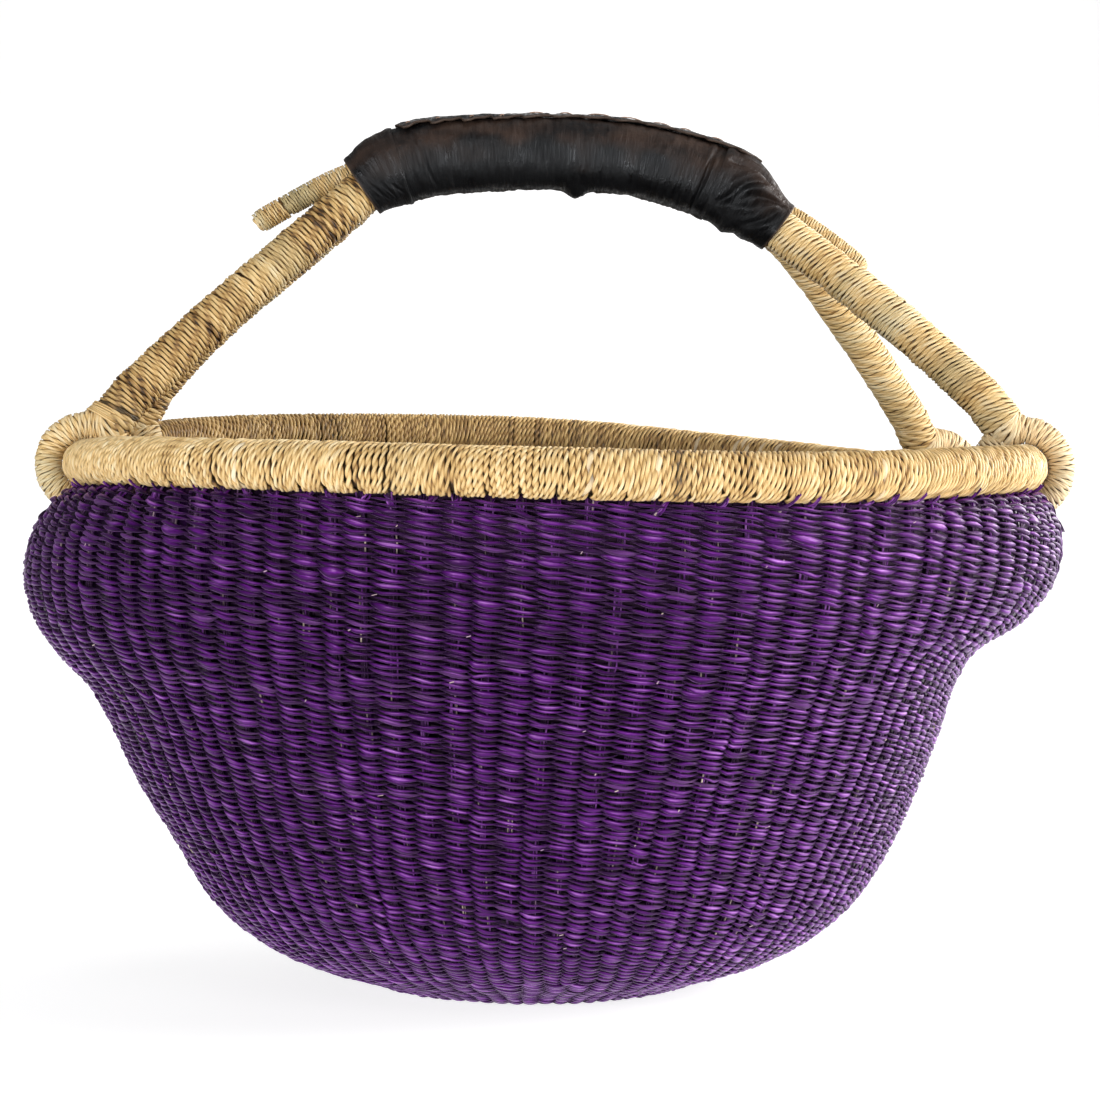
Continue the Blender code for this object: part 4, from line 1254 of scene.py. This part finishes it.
def wind(strands, centre, tangent, up, radius, rng, pitch=2.1, tilt=0.0, steps=34, shade=0.55, tones=None, twist=15.0, ply_r=0.62, lumps=0.012, painted_pale=0.0, flat=1.0):
    """A two-ply cord wound round a path.  centre, tangent, up and radius are arrays along it; tilt leans
    each turn in its plane, carrying its lower side towards the start of the path."""
    length = np.concatenate([[0.0], np.cumsum(np.linalg.norm(np.diff(centre, axis=0), axis=1))])
    total = length[-1]
    turns = max(2, int(round(total / pitch)))
    gaps = np.exp(rng.normal(0, 0.11, turns))
    edges = np.concatenate([[0.0], np.cumsum(gaps)]) / gaps.sum() * total
    own = rng.normal(0, 0.075, turns)
    slow = table_noise(rng, max(8, turns), 4)[:turns]
    grey = np.clip(0.35 * table_noise(rng, max(8, turns), 4)[:turns] - 0.22, 0, 0.7)
    size = np.exp(rng.normal(0, 0.10, (2, turns)))
    out = np.exp(rng.normal(0, lumps, turns))
    lean = tilt + rng.normal(0, 0.035, turns)
    t = np.arange(steps + 1) / steps
    k = np.arange(turns)[:, None]
    nxt = np.minimum(k + 1, turns - 1)
    at = edges[k] * (1 - t) + edges[k + 1] * t
    phi = 2 * PI * t[None] + 0 * at
    rho = 0.88 * ply_r
    deep = 0.42 * rho * flat  # the cord is pressed flat against the bundle
    r_k = out[k] * (1 - t) + out[nxt] * t
    rr = np.interp(at, length, radius) * r_k
    lean_k = lean[k] * (1 - t) + lean[nxt] * t
    at = np.clip(at + lean_k * rr * np.cos(phi), 0.0, total)

    def pick(values):
        return np.stack([np.interp(at, length, values[:, c]) for c in range(3)], -1)

    c, tan, u = pick(centre), unit(pick(tangent)), pick(up)
    u = unit(u - tan * np.sum(u * tan, -1, keepdims=True))
    side = np.cross(tan, u)
    radial = u * np.cos(phi)[..., None] + side * np.sin(phi)[..., None]
    core = rr - deep - 0.74 * ply_r
    middle = c + radial * core[..., None]
    go = unit(np.gradient(middle, axis=1))
    across = np.cross(go, radial)
    # on the outside of a bend the turns lie further apart and the plies flatten out to fill the space
    between = np.linalg.norm(np.roll(middle, -1, 0) - middle, axis=-1)
    between[-1] = between[-2]
    filled = np.clip(between / (total / turns), 0.55, 1.9)
    rho = rho * filled
    around = 2 * PI * np.interp(edges[:-1], length, radius) / twist
    start = np.concatenate([[0.0], np.cumsum(around)])
    spin = 2 * PI * (start[k] * (1 - t) + start[k + 1] * t)
    for ply in (0, 1):
        a = spin + PI * ply
        path = middle + radial * (deep * np.cos(a))[..., None] + across * (rho * np.sin(a))[..., None]
        tone = np.zeros(path.shape)
        # painted shade: each ply is darker where it turns in deep against the bundle
        tone[..., 0] = np.clip(shade + own[k] + 0.10 * slow[k] + 0.23 * np.cos(a) - 0.10, 0, 1)
        tone[..., 1] = grey[k] + 0 * at
        # painted light: paler fibre laid over the turns where they stand in the light
        tone[..., 2] = painted_pale
        if tones is not None:
            extra = tones(at / total)
            tone[..., 0] = np.clip(tone[..., 0] + extra[0], 0, 1)
            tone[..., 1] = np.clip(tone[..., 1] + extra[1], 0, 1)
        on_top = np.clip(np.cos(a), 0.0, 1.0) ** 2
        strands.add(path, radial, ply_r * size[ply][k] * filled * (1.0 + 0.22 * on_top), 0.74 * ply_r, tone, 6)


def rod(strands, centre, up, radius, rng, sides=12, shade=0.09):
    """The bundle of stems under a winding, painted dark as the shade between the turns."""
    tone = np.zeros((1, len(centre), 3))
    tone[..., 0] = np.clip(shade + 0.03 * table_noise(rng, (1, len(centre)), 2, (1,)), 0, 1)
    normal = np.asarray(up)[None]
    strands.add(np.asarray(centre)[None], normal, radius, radius, tone, sides)


LOOP_R = (5.6, 5.5, 5.4, 5.4, 5.5, 5.6, 5.6, 5.5, 5.4, 5.3, 5.3, 5.4, 5.5, 5.6)
LOOP_CLOSE = 8.8  # from the rim's centre line to the inner side of a loop


def spread(points, count):
    """A smooth curve through (point, radius) pairs, as arrays with even steps."""
    xs = [0.0]
    for a, b in zip(points, points[1:]):
        xs.append(xs[-1] + float(np.linalg.norm(b[0] - a[0])))
    s = np.linspace(0, xs[-1], count)
    centre = np.stack([[cubic(xs, [p[0][c] for p in points], v) for v in s] for c in range(3)], -1)
    radius = np.array([cubic(xs, [p[1] for p in points], v) for v in s])
    return centre, radius, np.array(xs)


def foot_route(foot):
    """One arm: from the grip down, over and round the rim, and back up into its own underside."""
    at, along, _, angle, long = arm_axis(foot)
    gap = (foot[4] - SLEEVE_T - 0.75) / 2 + 0.25
    pts = [(at(v), foot[4]) for v in (-0.01, 0.1, 0.22, 0.34, 0.46, 0.58, 0.70, 0.82, 0.91)]
    pts.append((at(1.0) - np.array([0.0, 0.0, 1.5]), foot[4]))
    for k, (u, v) in enumerate(LOOP):
        near = min(1.0, (LOOP_CLOSE + LOOP_R[k]) / math.hypot(u, v))
        pts.append((rim_point(np.array(angle), u * near, v * near), LOOP_R[k]))
    for v, r, part in ((1.0, 6.2, 0.6), (0.93, 6.2, 0.5), (0.86, 5.4, 0.4)):
        axis = along(v)
        apart = unit(np.array([0.0, 0.0, 1.0]) - axis * axis[2])
        pts.append((at(v) - apart * gap * part, r))
    return spread(pts, 420)


def path_frames(centre, side):
    tangent = unit(np.gradient(centre, axis=0))
    up = unit(np.cross(np.broadcast_to(side, tangent.shape), tangent))
    return tangent, up


def make_handle():
    for index, foot in enumerate(FEET):
        name = foot[0]
        rng = np.random.default_rng(600 + index)
        centre, radius, stations = foot_route(foot)
        at, _, _, angle, long = arm_axis(foot)
        tangent = unit(np.gradient(centre, axis=0))
        # the frame turns with the path, from straight up on the arm to round the rim
        sideways = np.array([-math.sin(angle), math.cos(angle), 0.0])
        up = np.cross(np.broadcast_to(sideways, tangent.shape), tangent)
        if up[10, 2] < 0:
            up = -up
        up = unit(up)
        bands = table_noise(rng, 24, 1)

        def tones(x, bands=bands, dull=0.10 if foot[2] < 0 else 0.0):
            slow = np.interp(x * 23, np.arange(24), bands)
            return 0.07 * slow, np.clip(0.24 * slow - 0.12 + dull, 0, 0.5)

        body = radius * (1.0 + 0.016 * table_noise(rng, 420, 8))
        cut = int(420 * (stations[9] - 1.0) / stations[-1])
        tilt = 0.10 if foot[2] < 0 else 0.20
        for part, a, b, lean in (("arm_winding_", 0, cut + 1, tilt), ("rope_loop_", cut, 420, 0.16)):
            # painted light: the right loops are painted paler as if lit from the right and the left loops lighter to
            # lift them out of the shade; the left arms are darker and greyer
            pale = 0.22 if a and foot[2] > 0 else 0.0
            shade = (0.60 if foot[2] > 0 else 0.78) if a else (0.60 if foot[2] > 0 else 0.38)
            strands = Strands()
            strands.rng = np.random.default_rng(700 + index + a)
            rod(strands, centre[a:b], up[a:b], np.maximum(radius[a:b] - (1.25 if a == 0 else 1.05), 1.0), rng)
            wind(strands, centre[a:b], tangent[a:b], up[a:b], body[a:b], rng, pitch=1.8 if a == 0 else 1.55, tilt=lean, steps=36 if a == 0 else 24, shade=shade, tones=tones, twist=15.0, ply_r=0.51 if a == 0 else 0.45, painted_pale=pale, flat=1.0 if a == 0 else 0.6)
            node = "arm_wrap_" if a == 0 else "rope_"
            strands.mesh(part + name, STRAW, "handle", "natural_straw", (node + name,))
        if foot[2] < 0:
            binding(foot, index)
    make_tails()


def binding(foot, index):
    """The last smooth strands of the left arms, wound a little slantwise round the fork of the rope."""
    rng = np.random.default_rng(640 + index)
    at, along, _, angle, long = arm_axis(foot)
    strands = Strands()
    strands.rng = np.random.default_rng(740 + index)
    v = np.linspace(0.80, 1.06, 60)
    centre = at(v)
    tangent = unit(np.gradient(centre, axis=0))
    up = unit(np.array([0.0, 0.0, 1.0]) - tangent * tangent[:, 2:3])
    side = np.cross(tangent, up)
    for k in range(6):
        t = np.linspace(0, 1, 30)
        phi = 2 * PI * t + 0.2
        mid = 1.0 - 0.90 * k / long
        reach_v = mid + 0.25 * foot[4] / long * np.cos(phi)
        x = np.clip((reach_v - v[0]) / (v[-1] - v[0]) * 59, 0, 59)
        c = np.stack([np.interp(x, np.arange(60), centre[:, i]) for i in range(3)], -1)
        u = unit(np.stack([np.interp(x, np.arange(60), up[:, i]) for i in range(3)], -1))
        w = unit(np.stack([np.interp(x, np.arange(60), side[:, i]) for i in range(3)], -1))
        radial = u * np.cos(phi)[:, None] + w * np.sin(phi)[:, None]
        r = foot[4] - 0.62 + rng.normal(0, 0.10)
        path = c + radial * r
        tone = np.zeros((1, 30, 3))
        tone[..., 0] = rng.uniform(0.45, 0.85)
        strands.add(path[None], radial[None], 0.43, 0.46, tone, 8, False, 2.0, 0.0, 0.75)
    strands.mesh("arm_binding_" + foot[0], STRAW, "handle", "natural_straw")


def tail(name, line, y, replaces, shade, tilt, seed, grey=None, r0=TAIL_R, round_start=True, thread=False):
    rng = np.random.default_rng(seed)
    xs = [0.0]
    for a, b in zip(line, line[1:]):
        xs.append(xs[-1] + math.hypot(b[0] - a[0], b[1] - a[1]))
    s = np.linspace(0, xs[-1], 60)
    centre = np.stack([[cubic(xs, [p[0] for p in line], v) for v in s], np.full(60, y), [cubic(xs, [p[1] for p in line], v) for v in s]], -1)
    tangent, up = path_frames(centre, np.array([0.0, 1.0, 0.0]))
    ends = np.minimum(s if round_start else s * 0 + 9.0, xs[-1] - s)
    radius = r0 * (0.55 + 0.45 * np.sqrt(1.0 - (1.0 - np.clip(ends / 3.4, 0, 1)) ** 2))
    strands = Strands()
    strands.rng = np.random.default_rng(seed + 1)
    rod(strands, centre, up, radius - 1.3, rng)
    wind(strands, centre, tangent, up, radius, rng, pitch=1.15, tilt=tilt, steps=24, shade=shade, tones=grey, ply_r=0.30, twist=11.0, lumps=0.003, flat=0.8)
    strands.mesh(name, STRAW, "handle", "natural_straw", replaces)


def make_tails():
    def grey(x):
        return -0.12 * smooth((x - 0.42) / 0.2), 0.85 * smooth((x - 0.47) / 0.25)

    line = ((-66.3, 313.0),) + TAIL_LEFT[:-1] + ((-97.7, 298.1),)
    tail("tail_left_winding", line, GRIP_Y, ("tail_left",), 0.56, 0.15, 900, grey)
    line = ((-97.6, 298.1),) + TAIL_CAP[1:]
    tail("tail_cap_winding", line, GRIP_Y, ("tail_cap_left",), 0.66, 0.10, 910, None, 4.7, False)
    tail("tail_right_winding", ((95.6, 296.0),) + TAIL_RIGHT, GRIP_Y + 1.5, ("tail_right",), 0.60, 0.15, 920)


def make_grip():
    leather_tube("grip_leather", CUFF_LEFT - 1.0, GRIP_LONG - CUFF_RIGHT + 1.5, 330, 132, cover_push, ("grip_cover",))
    leather_tube("cuff_leather_right", GRIP_LONG - CUFF_RIGHT, GRIP_LONG, 90, 132, cuff_right_push, ("cuff_right",), 0.45)
    leather_tube("cuff_leather_left", 0.0, CUFF_LEFT, 60, 132, cuff_left_push, ("cuff_left",), 0.45)
    # the bundle inside, seen past the arms in the open ends of the leather
    rng = np.random.default_rng(55)
    s = np.linspace(3.0, GRIP_LONG - 3.0, 60)
    centre, tangent, a, b = grip_at(s)
    up = np.stack([-tangent[:, 2], 0 * s, tangent[:, 0]], -1)
    strands = Strands()
    tone = np.zeros((1, 60, 3))
    tone[..., 0] = 0.3
    strands.add(centre[None], up[None], (b - 3.0)[None], (a - 3.0)[None], tone, 16)
    strands.mesh("grip_bundle", SHADED_BUNDLE, "handle", "grass_bundle", ("grip_core",))
    make_flap()


# ----------------------------------------------------------------- the studio
def make_studio():
    n = Nodes("studio_floor")
    noise = n.noise(None, 3.0, 2.0)
    n.out(n.ramp(noise, [(0.0, (0.50, 0.50, 0.50)), (1.0, (0.53, 0.53, 0.53))]), 0.9)
    n.shader.inputs["Emission Color"].default_value = (1.0, 1.0, 1.0, 1.0)
    # the floor glows where the basket stands and behind it, and less away from there
    where = n.split(n.node("ShaderNodeNewGeometry").outputs["Position"])
    sideways = n.remap(n.math("ABSOLUTE", where[0]), 0.50, 0.95, 1.0, 0.12)
    forward = n.remap(where[1], -0.62, -0.30, 0.12, 1.0)
    n.link(n.math("MULTIPLY", n.math("MULTIPLY", sideways, forward), 0.78), n.shader.inputs["Emission Strength"])
    # a floor that sweeps up into the background, so that no horizon shows
    half, front, back, high, bend = 1.5, -2.2, 2.6, 2.6, 1.2
    line = [(front, 0.0), (back - bend, 0.0)]
    line += [(back - bend + bend * math.sin(a), bend - bend * math.cos(a)) for a in np.linspace(0, PI / 2, 16)[1:]]
    line += [(back, high)]
    verts = [(x, y, z - 0.0002) for y, z in line for x in (-half, half)]
    faces = [(2 * k, 2 * k + 1, 2 * k + 3, 2 * k + 2) for k in range(len(line) - 1)]
    me = bpy.data.meshes.new("floor")
    me.from_pydata(verts, [], faces)
    me.polygons.foreach_set("use_smooth", [True] * len(faces))
    me.materials.append(n.mat)
    floor = bpy.data.objects.new("floor", me)
    scene.collection.objects.link(floor)

    def area(name, place, aim, size, power, colour=(1.0, 1.0, 1.0)):
        data = bpy.data.lights.new(name, "AREA")
        data.shape = "RECTANGLE"
        data.size, data.size_y = size
        data.energy = power
        data.color = colour
        lamp = bpy.data.objects.new(name, data)
        scene.collection.objects.link(lamp)
        lamp.location = place
        from mathutils import Vector

        lamp.rotation_euler = (Vector(aim) - Vector(place)).to_track_quat("-Z", "Y").to_euler()
        return lamp

    area("key_right", (1.75, -0.10, 0.60), (0.0, 0.0, 0.17), (0.8, 0.8), 36.0, (1.0, 0.99, 0.98))
    area("back_right", (1.45, 1.25, 0.50), (0.1, 0.0, 0.14), (0.8, 0.8), 20.0, (1.0, 0.99, 0.98))
    area("front_right", (1.1, -1.5, 0.60), (0.0, 0.0, 0.14), (0.8, 0.7), 8.5)
    area("front_left", (-0.95, -1.7, 0.42), (0.0, 0.0, 0.14), (0.45, 0.45), 20.0, (0.98, 0.99, 1.0))
    area("low_front", (-0.15, -1.95, 0.10), (0.0, 0.0, 0.12), (1.4, 0.2), 7.0)
    area("top_soft", (0.1, 0.3, 1.9), (0.0, 0.0, 0.2), (1.4, 1.4), 5.0)
    world = bpy.data.worlds.new("studio")
    world.use_nodes = True
    world.node_tree.nodes["Background"].inputs["Color"].default_value = (1.0, 1.0, 1.0, 1.0)
    world.node_tree.nodes["Background"].inputs["Strength"].default_value = 0.14
    scene.world = world
    scene.view_settings.view_transform = "Standard"
    scene.view_settings.look = "None"


make_camera()
make_studio()
make_weave()
make_start()
make_border()
make_rim()
make_handle()
make_grip()
